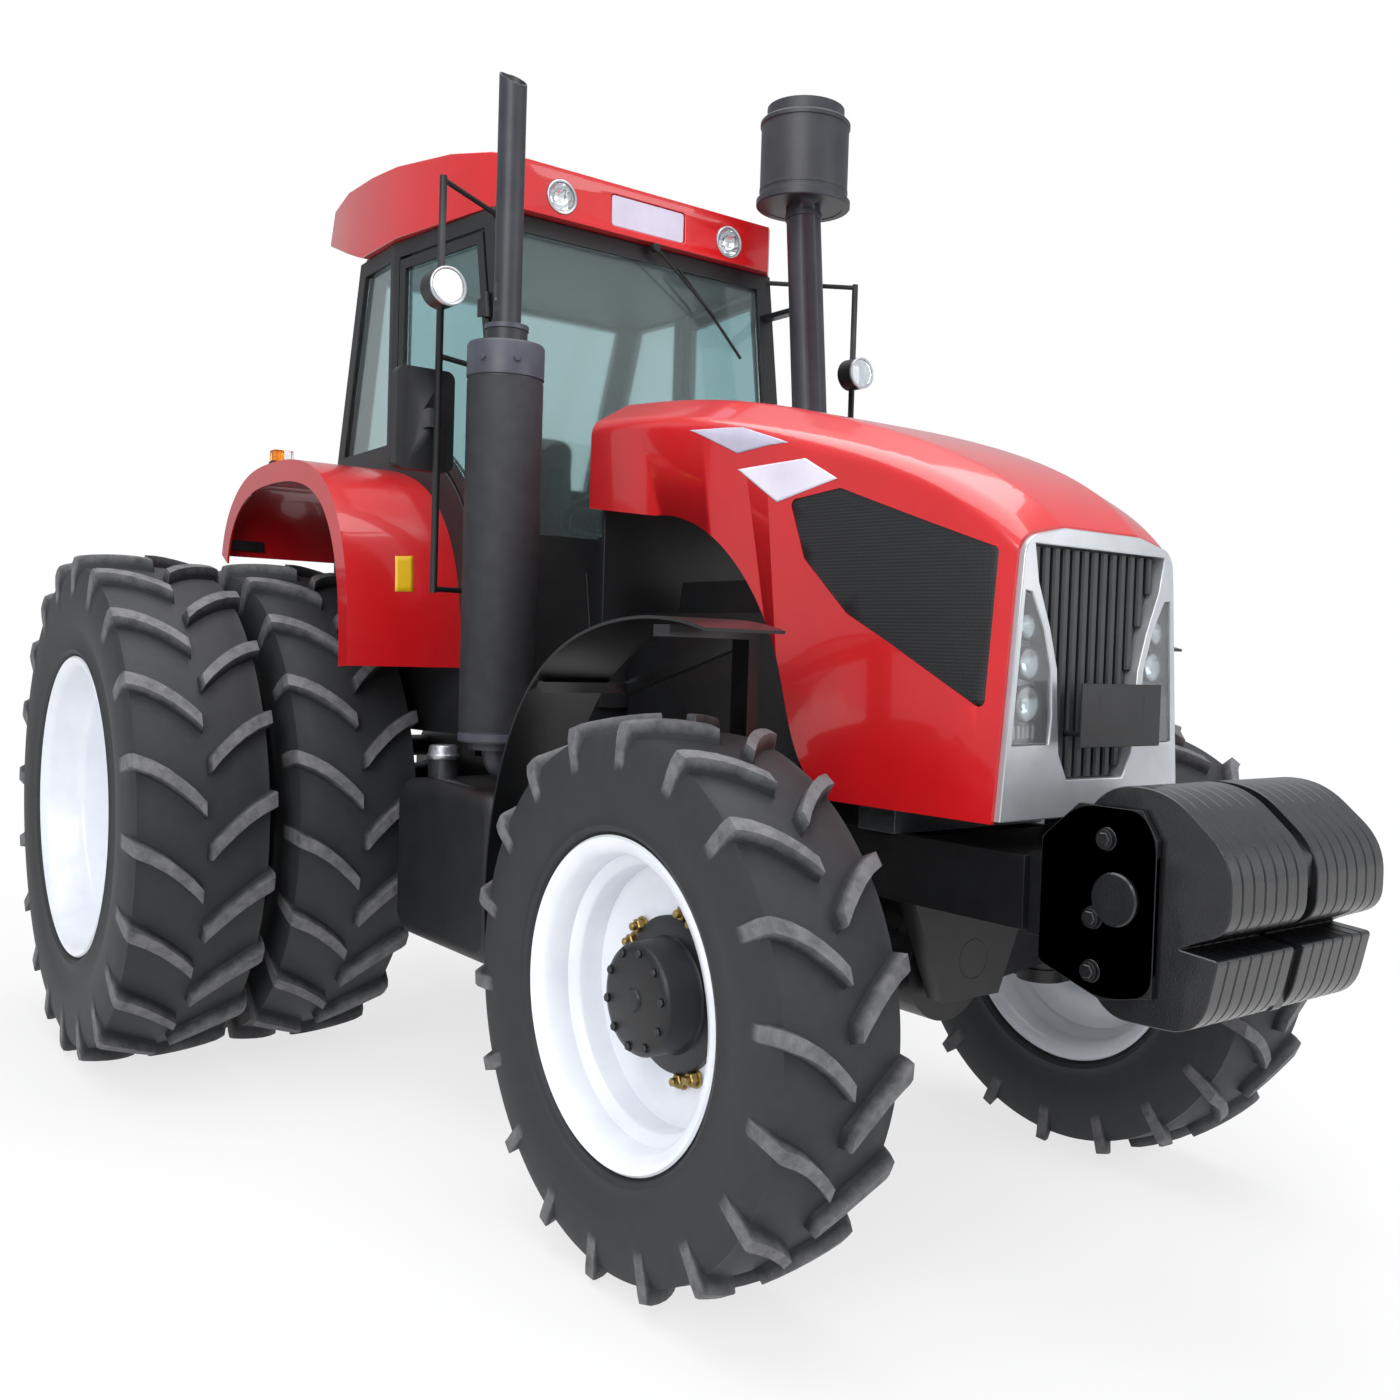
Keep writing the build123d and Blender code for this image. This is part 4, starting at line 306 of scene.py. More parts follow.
def vent_panels(material):
    """The hood's two side vents: the part of the grille's solids that lies behind the front face."""

    def keep_vents(work):
        ahead = [v for v in work.verts if v.co.x > VENTS_END_X]
        bmesh.ops.delete(work, geom=ahead, context="VERTS")
        bmesh.ops.remove_doubles(work, verts=work.verts, dist=NODE_MERGE)

    mesh = frame_mesh("grille", "side_vent_panels", keep_vents)
    placed("side_vent_panels", mesh, material, "hood", ("grille",))


def body_named(node):
    """The body that the record puts a node on."""
    for body, members in frame["record"]["behaviour"]["bodies"].items():
        if node in members:
            return body
    raise RuntimeError("no body holds " + node)


# ---- Materials ----


def linear(hex_colour):
    """An sRGB hex colour as linear RGBA."""
    value = np.array([int(hex_colour[i:i + 2], 16) / 255 for i in (1, 3, 5)])
    out = np.where(value <= 0.04045, value / 12.92, ((value + 0.055) / 1.055) ** 2.4)
    return (*out.tolist(), 1.0)


def add_node(tree, kind, settings=None, links=None, **sockets):
    """Adds one node, sets its properties and input values, and links other nodes' outputs to its inputs."""
    node = tree.nodes.new(kind)
    for key, value in (settings or {}).items():
        setattr(node, key, value)
    for key, value in sockets.items():
        node.inputs[key.replace("_", " ")].default_value = value
    for key, output in (links or {}).items():
        tree.links.new(output, node.inputs[key])
    return node


def empty_material(name):
    """A material, its cleared node tree and a node that gives the object's coordinates."""
    mat = bpy.data.materials.new(name)
    mat.use_nodes = True
    tree = mat.node_tree
    tree.nodes.clear()
    return mat, tree, add_node(tree, "ShaderNodeTexCoord")


def finish(name, colour, second=None, roughness=0.5, metallic=0.0, spot_mm=40.0, grain_mm=None,
           grain_strength=0.1, coat=0.0, mix_low=0.35, mix_high=0.75, **extra):
    """A surface with two close colours in soft patches and a fine grain that bumps it."""
    mat, tree, place = empty_material(name)
    patches = add_node(tree, "ShaderNodeTexNoise", links={"Vector": place.outputs["Object"]},
                       Scale=1000.0 / spot_mm, Detail=4.0, Roughness=0.6)
    spread = add_node(tree, "ShaderNodeMapRange", links={"Value": patches.outputs["Fac"]},
                      From_Min=mix_low, From_Max=mix_high)
    colours = add_node(tree, "ShaderNodeMix", {"data_type": "RGBA"}, links={0: spread.outputs["Result"]})
    colours.inputs[6].default_value = linear(colour)
    colours.inputs[7].default_value = linear(second or colour)
    shader = add_node(tree, "ShaderNodeBsdfPrincipled", links={"Base Color": colours.outputs[2]},
                      Roughness=roughness, Metallic=metallic)
    if coat:
        shader.inputs["Coat Weight"].default_value = coat
        shader.inputs["Coat Roughness"].default_value = 0.06
    for key, value in extra.items():
        shader.inputs[key.replace("_", " ")].default_value = value
    if grain_mm:
        grain = add_node(tree, "ShaderNodeTexNoise", links={"Vector": place.outputs["Object"]},
                         Scale=1000.0 / grain_mm, Detail=3.0, Roughness=0.55)
        bump = add_node(tree, "ShaderNodeBump", links={"Height": grain.outputs["Fac"]},
                        Strength=grain_strength, Distance=grain_mm * 0.001)
        tree.links.new(bump.outputs["Normal"], shader.inputs["Normal"])
    add_node(tree, "ShaderNodeOutputMaterial", links={"Surface": shader.outputs["BSDF"]})
    return mat


def tyre_rubber():
    """Moulded tyre rubber: near black and dull, with the bars' crowns scuffed to a dusty grey."""
    mat, tree, place = empty_material("moulded_tyre_rubber")
    wear = add_node(tree, "ShaderNodeAttribute", {"attribute_name": "wear"})
    dust = add_node(tree, "ShaderNodeTexNoise", links={"Vector": place.outputs["Object"]},
                    Scale=22.0, Detail=6.0, Roughness=0.7)
    scuffed = add_node(tree, "ShaderNodeMath", {"operation": "MULTIPLY"},
                       links={0: wear.outputs["Fac"], 1: dust.outputs["Fac"]})
    amount = add_node(tree, "ShaderNodeMapRange", links={"Value": scuffed.outputs["Value"]},
                      From_Min=0.15, From_Max=0.62)
    black = add_node(tree, "ShaderNodeMix", {"data_type": "RGBA"}, links={0: dust.outputs["Fac"]})
    black.inputs[6].default_value = linear("#1B1D20")
    black.inputs[7].default_value = linear("#2C2E31")
    colours = add_node(tree, "ShaderNodeMix", {"data_type": "RGBA"},
                       links={0: amount.outputs["Result"], 6: black.outputs[2]})
    colours.inputs[7].default_value = linear("#6E6E70")
    fine = add_node(tree, "ShaderNodeTexNoise", links={"Vector": place.outputs["Object"]},
                    Scale=400.0, Detail=2.0)
    bump = add_node(tree, "ShaderNodeBump", links={"Height": fine.outputs["Fac"]},
                    Strength=0.25, Distance=0.002)
    shader = add_node(tree, "ShaderNodeBsdfPrincipled", Roughness=0.62,
                      links={"Base Color": colours.outputs[2], "Normal": bump.outputs["Normal"]})
    add_node(tree, "ShaderNodeOutputMaterial", links={"Surface": shader.outputs["BSDF"]})
    return mat


def tinted_glass(name, colour, roughness=0.03):
    """Toughened glass with a green-blue body tint: clear, glossy and slightly darkened."""
    mat, tree, place = empty_material(name)
    film = add_node(tree, "ShaderNodeTexNoise", links={"Vector": place.outputs["Object"]},
                    Scale=2.5, Detail=3.0)
    rough = add_node(tree, "ShaderNodeMapRange", links={"Value": film.outputs["Fac"]},
                     To_Min=roughness, To_Max=roughness + 0.05)
    shader = add_node(tree, "ShaderNodeBsdfPrincipled", links={"Roughness": rough.outputs["Result"]},
                      Base_Color=linear(colour), IOR=1.5, Transmission_Weight=0.92)
    add_node(tree, "ShaderNodeOutputMaterial", links={"Surface": shader.outputs["BSDF"]})
    return mat


def perforated(name, colour, hole_colour, pitch_mm, plane):
    """Perforated sheet: round holes on a square pitch in the given plane, drawn dark with a bumped rim."""
    mat, tree, place = empty_material(name)
    parts = add_node(tree, "ShaderNodeSeparateXYZ", links={"Vector": place.outputs["Object"]})
    waves = []
    for axis in plane:
        turn = add_node(tree, "ShaderNodeMath", {"operation": "MULTIPLY"}, links={0: parts.outputs[axis]})
        turn.inputs[1].default_value = 2 * math.pi * 1000.0 / pitch_mm
        waves.append(add_node(tree, "ShaderNodeMath", {"operation": "COSINE"}, links={0: turn.outputs[0]}))
    total = add_node(tree, "ShaderNodeMath", {"operation": "ADD"},
                     links={0: waves[0].outputs[0], 1: waves[1].outputs[0]})
    hole = add_node(tree, "ShaderNodeMapRange", links={"Value": total.outputs[0]}, From_Min=0.2, From_Max=0.7)
    colours = add_node(tree, "ShaderNodeMix", {"data_type": "RGBA"}, links={0: hole.outputs["Result"]})
    colours.inputs[6].default_value = linear(colour)
    colours.inputs[7].default_value = linear(hole_colour)
    bump = add_node(tree, "ShaderNodeBump", {"invert": True}, links={"Height": hole.outputs["Result"]},
                    Strength=0.6, Distance=0.002)
    shader = add_node(tree, "ShaderNodeBsdfPrincipled", Roughness=0.5,
                      links={"Base Color": colours.outputs[2], "Normal": bump.outputs["Normal"]})
    add_node(tree, "ShaderNodeOutputMaterial", links={"Surface": shader.outputs["BSDF"]})
    return mat


MATERIALS = {}


def make_materials():
    """Fills MATERIALS; the comment over each says what the real surface is."""
    s = bpy.context.scene.tractor
    # Two-coat enamel on pressed steel: a deep red with a wet, sharp gloss.
    MATERIALS["red"] = finish("red_gloss_enamel", s.body_red, s.body_red_shade, 0.32, grain_mm=6,
                              grain_strength=0.015, coat=0.7, spot_mm=300)
    # Wheel enamel over rolled steel: bright, slightly blue white.
    MATERIALS["white"] = finish("white_wheel_enamel", "#EEF1F7", "#E2E6EE", 0.33, grain_mm=5,
                                grain_strength=0.02, coat=0.3, spot_mm=160)
    # Chassis paint sprayed over rough castings: black with a low gloss.
    MATERIALS["chassis"] = finish("black_chassis_paint", "#0D0E10", "#17181A", 0.42, grain_mm=3,
                                  grain_strength=0.18, spot_mm=60)
    # Gloss black paint dipped on cast iron weights: soft highlights on a slightly pitted skin.
    MATERIALS["weight"] = finish("black_paint_on_cast_iron", "#131416", "#1D1E21", 0.3, grain_mm=4,
                                 grain_strength=0.22, coat=0.25, spot_mm=70)
    # Moulded polypropylene with a fine grained skin.
    MATERIALS["plastic"] = finish("grained_black_polypropylene", "#141517", "#1D1E21", 0.5, grain_mm=1.8,
                                  grain_strength=0.16, spot_mm=90)
    # Smooth black polyethylene of the front fenders: satin with broad highlights.
    MATERIALS["fender"] = finish("satin_black_polyethylene", "#0E0F10", "#191A1C", 0.3, grain_mm=8,
                                 grain_strength=0.05, spot_mm=200)
    # Silicone heat paint on rolled steel tube: blue-black and dull.
    MATERIALS["stack"] = finish("blue_black_heat_paint", "#26272D", "#33353C", 0.45, grain_mm=2.2,
                                grain_strength=0.12, spot_mm=120)
    # Silver paint over moulded ABS: fine flake under lacquer.
    MATERIALS["silver"] = finish("silver_painted_abs", "#C3C6CA", "#B2B6BB", 0.3, 0.55, grain_mm=1.2,
                                 grain_strength=0.03, coat=0.4, spot_mm=150)
    # Zinc-plated steel: pale grey with a faint mottling.
    MATERIALS["zinc"] = finish("zinc_plated_steel", "#B9BDC1", "#8F9499", 0.34, 0.9, spot_mm=12, grain_mm=1)
    # Yellow-passivated zinc on the wheel nuts: a dull brass tone.
    MATERIALS["nut"] = finish("yellow_passivated_zinc", "#A58C52", "#7C6A45", 0.38, 0.85, spot_mm=10,
                              grain_mm=1)
    # Machined bright steel rods.
    MATERIALS["steel"] = finish("machined_steel", "#9A9DA1", "#808388", 0.3, 0.95, spot_mm=25, grain_mm=0.8)
    # Drawn aluminium reflector: near mirror.
    MATERIALS["reflector"] = finish("aluminised_reflector", "#E8EAEC", "#D4D8DC", 0.08, 1.0, spot_mm=20)
    # Woven seat cloth over foam: dark grey with a soft sheen.
    MATERIALS["cloth"] = finish("woven_seat_cloth", "#26282B", "#34373B", 0.9, grain_mm=3.0,
                                grain_strength=0.5, spot_mm=30, Sheen_Weight=0.4)
    # Extruded rubber seals: soft black.
    MATERIALS["seal"] = finish("extruded_rubber_seal", "#101112", "#18191A", 0.7, spot_mm=30, grain_mm=2)
    # Finned aluminium core behind the grille.
    MATERIALS["core"] = finish("finned_aluminium_core", "#4A4D50", "#5A5E62", 0.5, 0.7, spot_mm=8, grain_mm=3,
                               grain_strength=0.5)
    # Vinyl film in pale lilac grey on the hood's sides and the roof panel.
    MATERIALS["film"] = finish("pale_lilac_vinyl_film", "#C9C3D6", "#A9A7BA", 0.25, coat=0.4, spot_mm=260,
                               grain_mm=10, grain_strength=0.01)
    # Yellow vinyl film, left blank.
    MATERIALS["yellow"] = finish("yellow_vinyl_film", "#E3B71C", "#D9A90F", 0.35, spot_mm=60)
    # Red moulded cap.
    MATERIALS["cap"] = finish("red_moulded_nylon", "#C2211C", "#A81712", 0.4, spot_mm=20, grain_mm=1.5)
    # The same film, painted nearly white as if lit where it faces the sky: a painted highlight on the real
    # lower decal.
    MATERIALS["film_light"] = finish("lilac_vinyl_film_painted_lit", "#E9E4F1", "#D6D0E2", 0.25, coat=0.4,
                                     spot_mm=200, grain_mm=10, grain_strength=0.01)
    # Pressed grille sheet under satin black paint.
    MATERIALS["grille"] = finish("satin_black_grille_sheet", "#2B2D30", "#222427", 0.42, grain_mm=4,
                                 grain_strength=0.12, spot_mm=90)
    # Gloss black moulding round each headlight bowl.
    MATERIALS["dark_rim"] = finish("gloss_black_polycarbonate", "#15161A", "#1F2024", 0.22, spot_mm=40,
                                   grain_mm=3, grain_strength=0.03)
    # Rough heat paint of the muffler's shield, darker than its bands.
    MATERIALS["shield"] = finish("rough_black_heat_paint", "#1D1E22", "#2A2B30", 0.62, grain_mm=1.6,
                                 grain_strength=0.5, spot_mm=50)
    # Blue-grey heat paint of the bands.
    MATERIALS["stack_light"] = finish("blue_grey_heat_paint", "#3B3D47", "#474A55", 0.42, grain_mm=2.5,
                                      grain_strength=0.1, spot_mm=90)
    MATERIALS["rubber"] = tyre_rubber()
    MATERIALS["glass"] = tinted_glass("green_blue_toughened_glass", "#C9DCDD")
    MATERIALS["side_glass"] = tinted_glass("deep_tinted_toughened_glass", "#A9CDD0")
    MATERIALS["lens"] = tinted_glass("clear_polycarbonate_lens", "#F2F6F8", 0.02)
    MATERIALS["amber"] = tinted_glass("amber_acrylic_lens", "#F08A10", 0.1)
    MATERIALS["red_lens"] = tinted_glass("red_acrylic_lens", "#C8140C", 0.1)
    # Mirror glass: silvered.
    MATERIALS["mirror"] = finish("silvered_mirror_glass", "#DDE2E6", "#D5DADF", 0.03, 1.0, spot_mm=90)
    MATERIALS["mesh"] = perforated("perforated_black_sheet", "#191A1D", "#050506", 9.0, ("X", "Z"))


# ---- Wheels ----


def tyre_shape(radius, width, rim_r, bead_y, lug_h, lugs, centre, lean):
    """
    A tyre as a grid of angle against profile. The carcass profile and the bars' crown profile share the
    same rows; a point lies on the carcass between the bars and on the crown profile where a bar is. The
    columns lean back with the distance from the middle plane, so every bar's edge follows a column.
    """
    crown = radius - lug_h
    wall = crown - rim_r
    w = width
    half = np.array([
        # carcass y, carcass r, crown y, crown r, bar present
        (bead_y, rim_r - 0.020, bead_y, rim_r - 0.020, 0),
        (bead_y + 0.004, rim_r + 0.004, bead_y + 0.004, rim_r + 0.004, 0),
        (bead_y + 0.018, rim_r + 0.012, bead_y + 0.018, rim_r + 0.012, 0),
        (bead_y + 0.024, rim_r + 0.024, bead_y + 0.024, rim_r + 0.024, 0),
        (bead_y + 0.021, rim_r + 0.030, bead_y + 0.021, rim_r + 0.030, 0),
        (0.452 * w, rim_r + 0.20 * wall, 0.452 * w, rim_r + 0.20 * wall, 0),
        (0.480 * w, rim_r + 0.34 * wall, 0.480 * w, rim_r + 0.34 * wall, 0),
        (0.494 * w, rim_r + 0.48 * wall, 0.494 * w, rim_r + 0.48 * wall, 0),
        (0.496 * w, rim_r + 0.58 * wall, 0.4965 * w, rim_r + 0.60 * wall, 0),
        (0.493 * w, rim_r + 0.66 * wall, 0.499 * w, rim_r + 0.72 * wall, 1),
        (0.486 * w, rim_r + 0.76 * wall, 0.500 * w, rim_r + 0.88 * wall, 1),
        (0.474 * w, rim_r + 0.86 * wall, 0.497 * w, crown - 0.012 * w, 1),
        (0.450 * w, rim_r + 0.945 * wall, 0.484 * w, radius - 0.050 * w, 1),
        (0.420 * w, crown - 0.040 * w, 0.450 * w, radius - 0.036 * w, 1),
        (0.360 * w, crown - 0.028 * w, 0.370 * w, radius - 0.023 * w, 1),
        (0.270 * w, crown - 0.016 * w, 0.270 * w, radius - 0.012 * w, 1),
        (0.180 * w, crown - 0.008 * w, 0.180 * w, radius - 0.005 * w, 1),
        (0.095 * w, crown - 0.003 * w, 0.095 * w, radius - 0.001 * w, 1),
        (0.018 * w, crown, 0.024 * w, radius, 1),
        (0.006 * w, crown, 0.006 * w, crown + 0.001, 0),
    ])
    rows = np.vstack([half, half[::-1] * (-1, 1, -1, 1, 1)])
    side = np.concatenate([np.ones(len(half)), -np.ones(len(half))])
    # Columns of one pitch: each bar has a foot and a crown edge at both sides.
    pitch = 2 * np.pi / lugs
    bar = 0.118 * w / radius
    foot = 0.62 * bar
    top = 0.42 * bar
    local = []
    for mid, owner in ((0.25 * pitch, 1), (0.75 * pitch, -1)):
        local += [(mid - foot, 0, owner), (mid - top, 1, owner), (mid, 1, owner), (mid + top, 1, owner),
                  (mid + foot, 0, owner)]
        local.append((mid + 0.25 * pitch, 0, 0))
    local = np.array(local)
    angle = (np.arange(lugs)[:, None] * pitch + local[None, :, 0]).ravel()
    on = np.tile(local[:, 1], lugs)
    owner = np.tile(local[:, 2], lugs)
    present = rows[:, 4][:, None] * on[None] * (owner[None] == side[:, None])
    y = rows[:, 0][:, None] + (rows[:, 2] - rows[:, 0])[:, None] * present
    r = rows[:, 1][:, None] + (rows[:, 3] - rows[:, 1])[:, None] * present
    reach = np.abs(rows[:, 0]) / (0.5 * w)
    shear = lean * (reach - 0.30 * reach ** 2) * (0.5 * w) / radius
    shear = np.where(rows[:, 1] < rim_r + 0.5 * wall, shear.max(), shear)
    theta = angle[None] - shear[:, None]
    points = np.stack([
        centre[0] + r * np.sin(theta),
        centre[1] + y,
        centre[2] + r * np.cos(theta),
    ], axis=-1)
    # Inside of the bead closes the tyre.
    inner = np.array([(-bead_y + 0.03, rim_r + 0.035), (bead_y - 0.03, rim_r + 0.035)])
    closing = np.stack([
        centre[0] + inner[:, 1][:, None] * np.sin(theta[:1]),
        centre[1] + np.repeat(inner[:, 0][:, None], theta.shape[1], axis=1),
        centre[2] + inner[:, 1][:, None] * np.cos(theta[:1]),
    ], axis=-1)
    points = np.concatenate([points, closing], axis=0)
    scuff = np.concatenate([present, np.zeros((2, present.shape[1]))], axis=0)
    p, q, n = lattice(points, wrap_u=True, wrap_v=True)
    return (p, q, n), scuff.ravel()


def turned_over(shape):
    """The shape with every face's direction reversed."""
    points, quads, ngons = shape
    return points, np.asarray(quads)[:, ::-1], [np.asarray(face)[::-1] for face in ngons]


def rim_shape(centre, rim_r, width, disc_y, hub_r, side, segments=96):
    """A rolled rim and its dished disc as one closed profile turned round the axle."""
    h = width / 2
    well = rim_r - 0.062
    seat = rim_r - 0.028
    outer = [
        (h + 0.012, rim_r - 0.004), (h + 0.014, rim_r + 0.004), (h + 0.008, rim_r + 0.010),
        (h, rim_r + 0.006),
        (h - 0.003, rim_r - 0.020), (h - 0.02, seat), (0.50 * h, seat - 0.004), (0.40 * h, well + 0.006),
        (0.34 * h, well), (-0.30 * h, well), (-0.38 * h, well + 0.006), (-0.50 * h, seat - 0.004),
        (-h + 0.02, seat), (-h + 0.003, rim_r - 0.020), (-h, rim_r + 0.006), (-h - 0.008, rim_r + 0.010),
        (-h - 0.014, rim_r + 0.004), (-h - 0.012, rim_r - 0.004),
        (-h - 0.004, rim_r - 0.024), (-h + 0.016, seat - 0.010), (-0.50 * h, seat - 0.014),
        (-0.38 * h, well - 0.006), (-0.30 * h, well - 0.010), (disc_y - 0.012, well - 0.010),
        (disc_y - 0.010, well - 0.03), (disc_y - 0.030, 0.80 * well), (disc_y - 0.026, 0.62 * well),
        (disc_y - 0.010, 0.52 * well), (disc_y - 0.008, hub_r),
        (disc_y + 0.008, hub_r), (disc_y + 0.006, 0.52 * well), (disc_y - 0.010, 0.62 * well),
        (disc_y - 0.014, 0.80 * well), (disc_y + 0.006, well - 0.03), (disc_y + 0.012, well - 0.010),
        (0.34 * h, well - 0.010), (0.40 * h, well - 0.006), (0.50 * h, seat - 0.014),
        (h - 0.016, seat - 0.010), (h + 0.004, rim_r - 0.024),
    ]
    profile = np.array(outer + outer[:1])
    profile[:, 0] *= side
    shape = lathe(profile, centre, (0, 1, 0), segments)
    return shape if side > 0 else turned_over(shape)


def on_circle(centre, radius, angle):
    """A point on an upright circle round a wheel's centre; the angle starts at the top."""
    return centre + np.array([math.sin(angle), 0, math.cos(angle)]) * radius


class TRACTOR_OT_tyres(bpy.types.Operator):
    """Builds the six tyres with their bars"""

    bl_idname = "tractor.tyres"
    bl_label = "Tyres"

    def execute(self, context):
        s = context.scene.tractor
        for side, name in SIDES:
            centre = FRONT_AXLE + (0, side * FRONT_WHEEL_Y, 0)
            shape, wear = tyre_shape(*FRONT_TYRE, s.front_bar_height, s.front_bars, centre, BAR_LEAN)
            piece("front_tyre_tread_" + name, [turned_over(shape)], MATERIALS["rubber"],
                  "front_wheel_" + name, ("front_tyre_" + name,), smooth=32,
                  attribute=("wear", wear))
            shapes, wears = [], []
            for y in REAR_WHEEL_Y:
                centre = REAR_AXLE + (0, side * y, 0)
                shape, wear = tyre_shape(*REAR_TYRE, s.rear_bar_height, s.rear_bars, centre, BAR_LEAN)
                shapes.append(turned_over(shape))
                wears.append(wear)
            piece("rear_tyre_tread_" + name, shapes, MATERIALS["rubber"], "rear_wheels_" + name,
                  ("rear_tyres_" + name,), smooth=32,
                  attribute=("wear", np.concatenate(wears)))
        return {"FINISHED"}


class TRACTOR_OT_wheels(bpy.types.Operator):
    """Builds the rims, hubs and wheel nuts"""

    bl_idname = "tractor.wheels"
    bl_label = "Rims and hubs"

    def execute(self, context):
        for side, name in SIDES:
            out = np.array([0.0, float(side), 0.0])
            centre = FRONT_AXLE + (0, side * FRONT_WHEEL_Y, 0)
            rim = rim_shape(centre, 0.401, 0.300, -0.024, 0.150, side)
            piece("front_rim_pressing_" + name, [rim], MATERIALS["white"], "front_wheel_" + name,
                  ("front_rim_" + name,), smooth=50)
            base = FRONT_AXLE + out * 0.845
            hub = [
                lathe([(0, 0.198), (0.016, 0.198), (0.02, 0.192), (0.022, 0.150), (0.03, 0.144),
                       (0.110, 0.142), (0.120, 0.136), (0.127, 0.118), (0.128, 0.030), (0.134, 0.026),
                       (0.136, 0.0)],
                      base - out * 0.010, out, 64),
                cylinder(base - out * 0.085, out, 0.130, 0.080, 0.004, 48),
            ]
            for angle in np.arange(10) * 2 * np.pi / 10 + 0.15:
                spot = on_circle(base, 0.120, angle) + out * 0.113
                hub.append(hex_bolt(spot, out, 0.020, 0.010))
            piece("front_hub_cap_" + name, hub, MATERIALS["chassis"], "front_wheel_" + name)
            nuts = []
            for k in range(10):
                angle = (k // 2) * 2 * np.pi / 5 + (0.13 if k % 2 else -0.13) + 0.3
                spot = on_circle(base, 0.214, angle) - out * 0.013
                nuts.append(cylinder(spot, out, 0.0105, 0.040, 0.002, 16))
                nuts.append(hex_bolt(spot, out, 0.034, 0.026))
            piece("front_wheel_nuts_" + name, nuts, MATERIALS["nut"], "front_wheel_" + name)
            rims = [rim_shape(REAR_AXLE + out * y, 0.541, 0.406, disc_y, 0.150, side)
                    for y, disc_y in zip(REAR_WHEEL_Y, (0.060, -0.065))]
            piece("rear_rim_pressings_" + name, rims, MATERIALS["white"], "rear_wheels_" + name,
                  ("rear_rims_" + name,), smooth=50)
            hub = [lathe([(0.0, 0.13), (0.24, 0.13), (0.24, 0.20), (0.262, 0.20), (0.268, 0.14), (0.60, 0.14),
                          (0.60, 0.20), (0.622, 0.20), (0.632, 0.196), (0.634, 0.130), (0.680, 0.120),
                          (0.690, 0.105), (0.692, 0.0)], REAR_AXLE + out * 0.761, out, 64)]
            nuts = []
            for k in range(10):
                angle = k * 2 * np.pi / 10
                nuts.append(hex_bolt(on_circle(REAR_AXLE, 0.172, angle) + out * 1.402, out, 0.036, 0.030))
            piece("rear_hub_" + name, hub, MATERIALS["chassis"], "rear_wheels_" + name)
            piece("rear_wheel_nuts_" + name, nuts, MATERIALS["nut"], "rear_wheels_" + name)
        return {"FINISHED"}


# ---- Carried-over nodes ----


class TRACTOR_OT_frame_finishes(bpy.types.Operator):
    """Gives the pieces of the fixed frame their paints and smooth shading"""

    bl_idname = "tractor.frame_finishes"
    bl_label = "Frame finishes"

    def execute(self, context):
        for node, finish_name, bevel in (
            ("hood", "red", 0.0), ("cab_roof", "red", 0.02), ("rear_fender_left", "red", 0.0),
            ("rear_fender_right", "red", 0.0), ("rear_axle_housing", "chassis", 0.006),
            ("transmission_case", "chassis", 0.008), ("engine_block", "chassis", 0.006),
            ("front_frame", "chassis", 0.004), ("front_axle", "chassis", 0.006),
            ("knuckle_left", "chassis", 0.005), ("knuckle_right", "chassis", 0.005),
            ("tie_rod", "steel", 0.0), ("front_fender_left", "fender", 0.0),
            ("front_fender_right", "fender", 0.0), ("grille_surround", "silver", 0.003),
            ("radiator", "core", 0.003), ("cab_frame", "plastic", 0.005), ("cab_consoles", "plastic", 0.012),
            ("door_left", "plastic", 0.004), ("door_right", "plastic", 0.004),
            ("seat_base", "plastic", 0.006), ("fuel_tank", "plastic", 0.0),
            ("steps_and_battery_box", "chassis", 0.003), ("intake_stack", "stack", 0.0),
            ("lower_links", "chassis", 0.003), ("lift_arms", "chassis", 0.003), ("lift_rods", "steel", 0.0),
            ("mirrors", "plastic", 0.0),
        ):
            dressed_node(node, MATERIALS[finish_name], bevel)
        for node, finish_name in (
            ("cab_glass", "glass"), ("door_glass_left", "side_glass"), ("door_glass_right", "side_glass"),
            ("exhaust_stack", "stack"),
        ):
            mesh = frame["nodes"][node].data
            mesh.materials.clear()
            mesh.materials.append(MATERIALS[finish_name])
        return {"FINISHED"}


# ---- Front face and hood ----

GRILLE_HALF = np.array([(0.262, 1.862), (0.244, 1.770), (0.196, 1.660), (0.164, 1.560), (0.156, 1.440),
                        (0.146, 1.350), (0.112, 1.286)])
LAMP_HALF = np.array([(0.292, 1.748), (0.268, 1.744), (0.220, 1.660), (0.188, 1.560), (0.180, 1.440),
                      (0.186, 1.374), (0.322, 1.374)])
# Each round lamp's y, z and radius.
LAMP_BOWLS = ((0.260, 1.662, 0.030), (0.250, 1.572, 0.038), (0.251, 1.474, 0.043))
SLAT_PITCH = 0.038
SLAT_TOP_Z = 1.858
SLAT_FOOT_GAP = 0.004
FILM_LIFT = 0.0008
FILM_THICKNESS = 0.0004


def inset(outline, amount):
    """A counter-clockwise outline moved inward by the amount along its corners' bisectors."""
    outline = np.asarray(outline, float)
    run = np.roll(outline, -1, axis=0) - outline
    run /= np.linalg.norm(run, axis=1)[:, None]
    normal = np.stack([-run[:, 1], run[:, 0]], axis=1)
    both = normal + np.roll(normal, 1, axis=0)
    return outline + both * (amount * 2 / np.maximum(np.sum(both ** 2, axis=1), 0.5))[:, None]


def counter_clockwise(outline):
    """The outline, reversed if it runs clockwise."""
    outline = np.asarray(outline, float)
    x, y = outline[:, 0], outline[:, 1]
    return outline if np.sum(x * np.roll(y, -1) - np.roll(x, -1) * y) > 0 else outline[::-1]


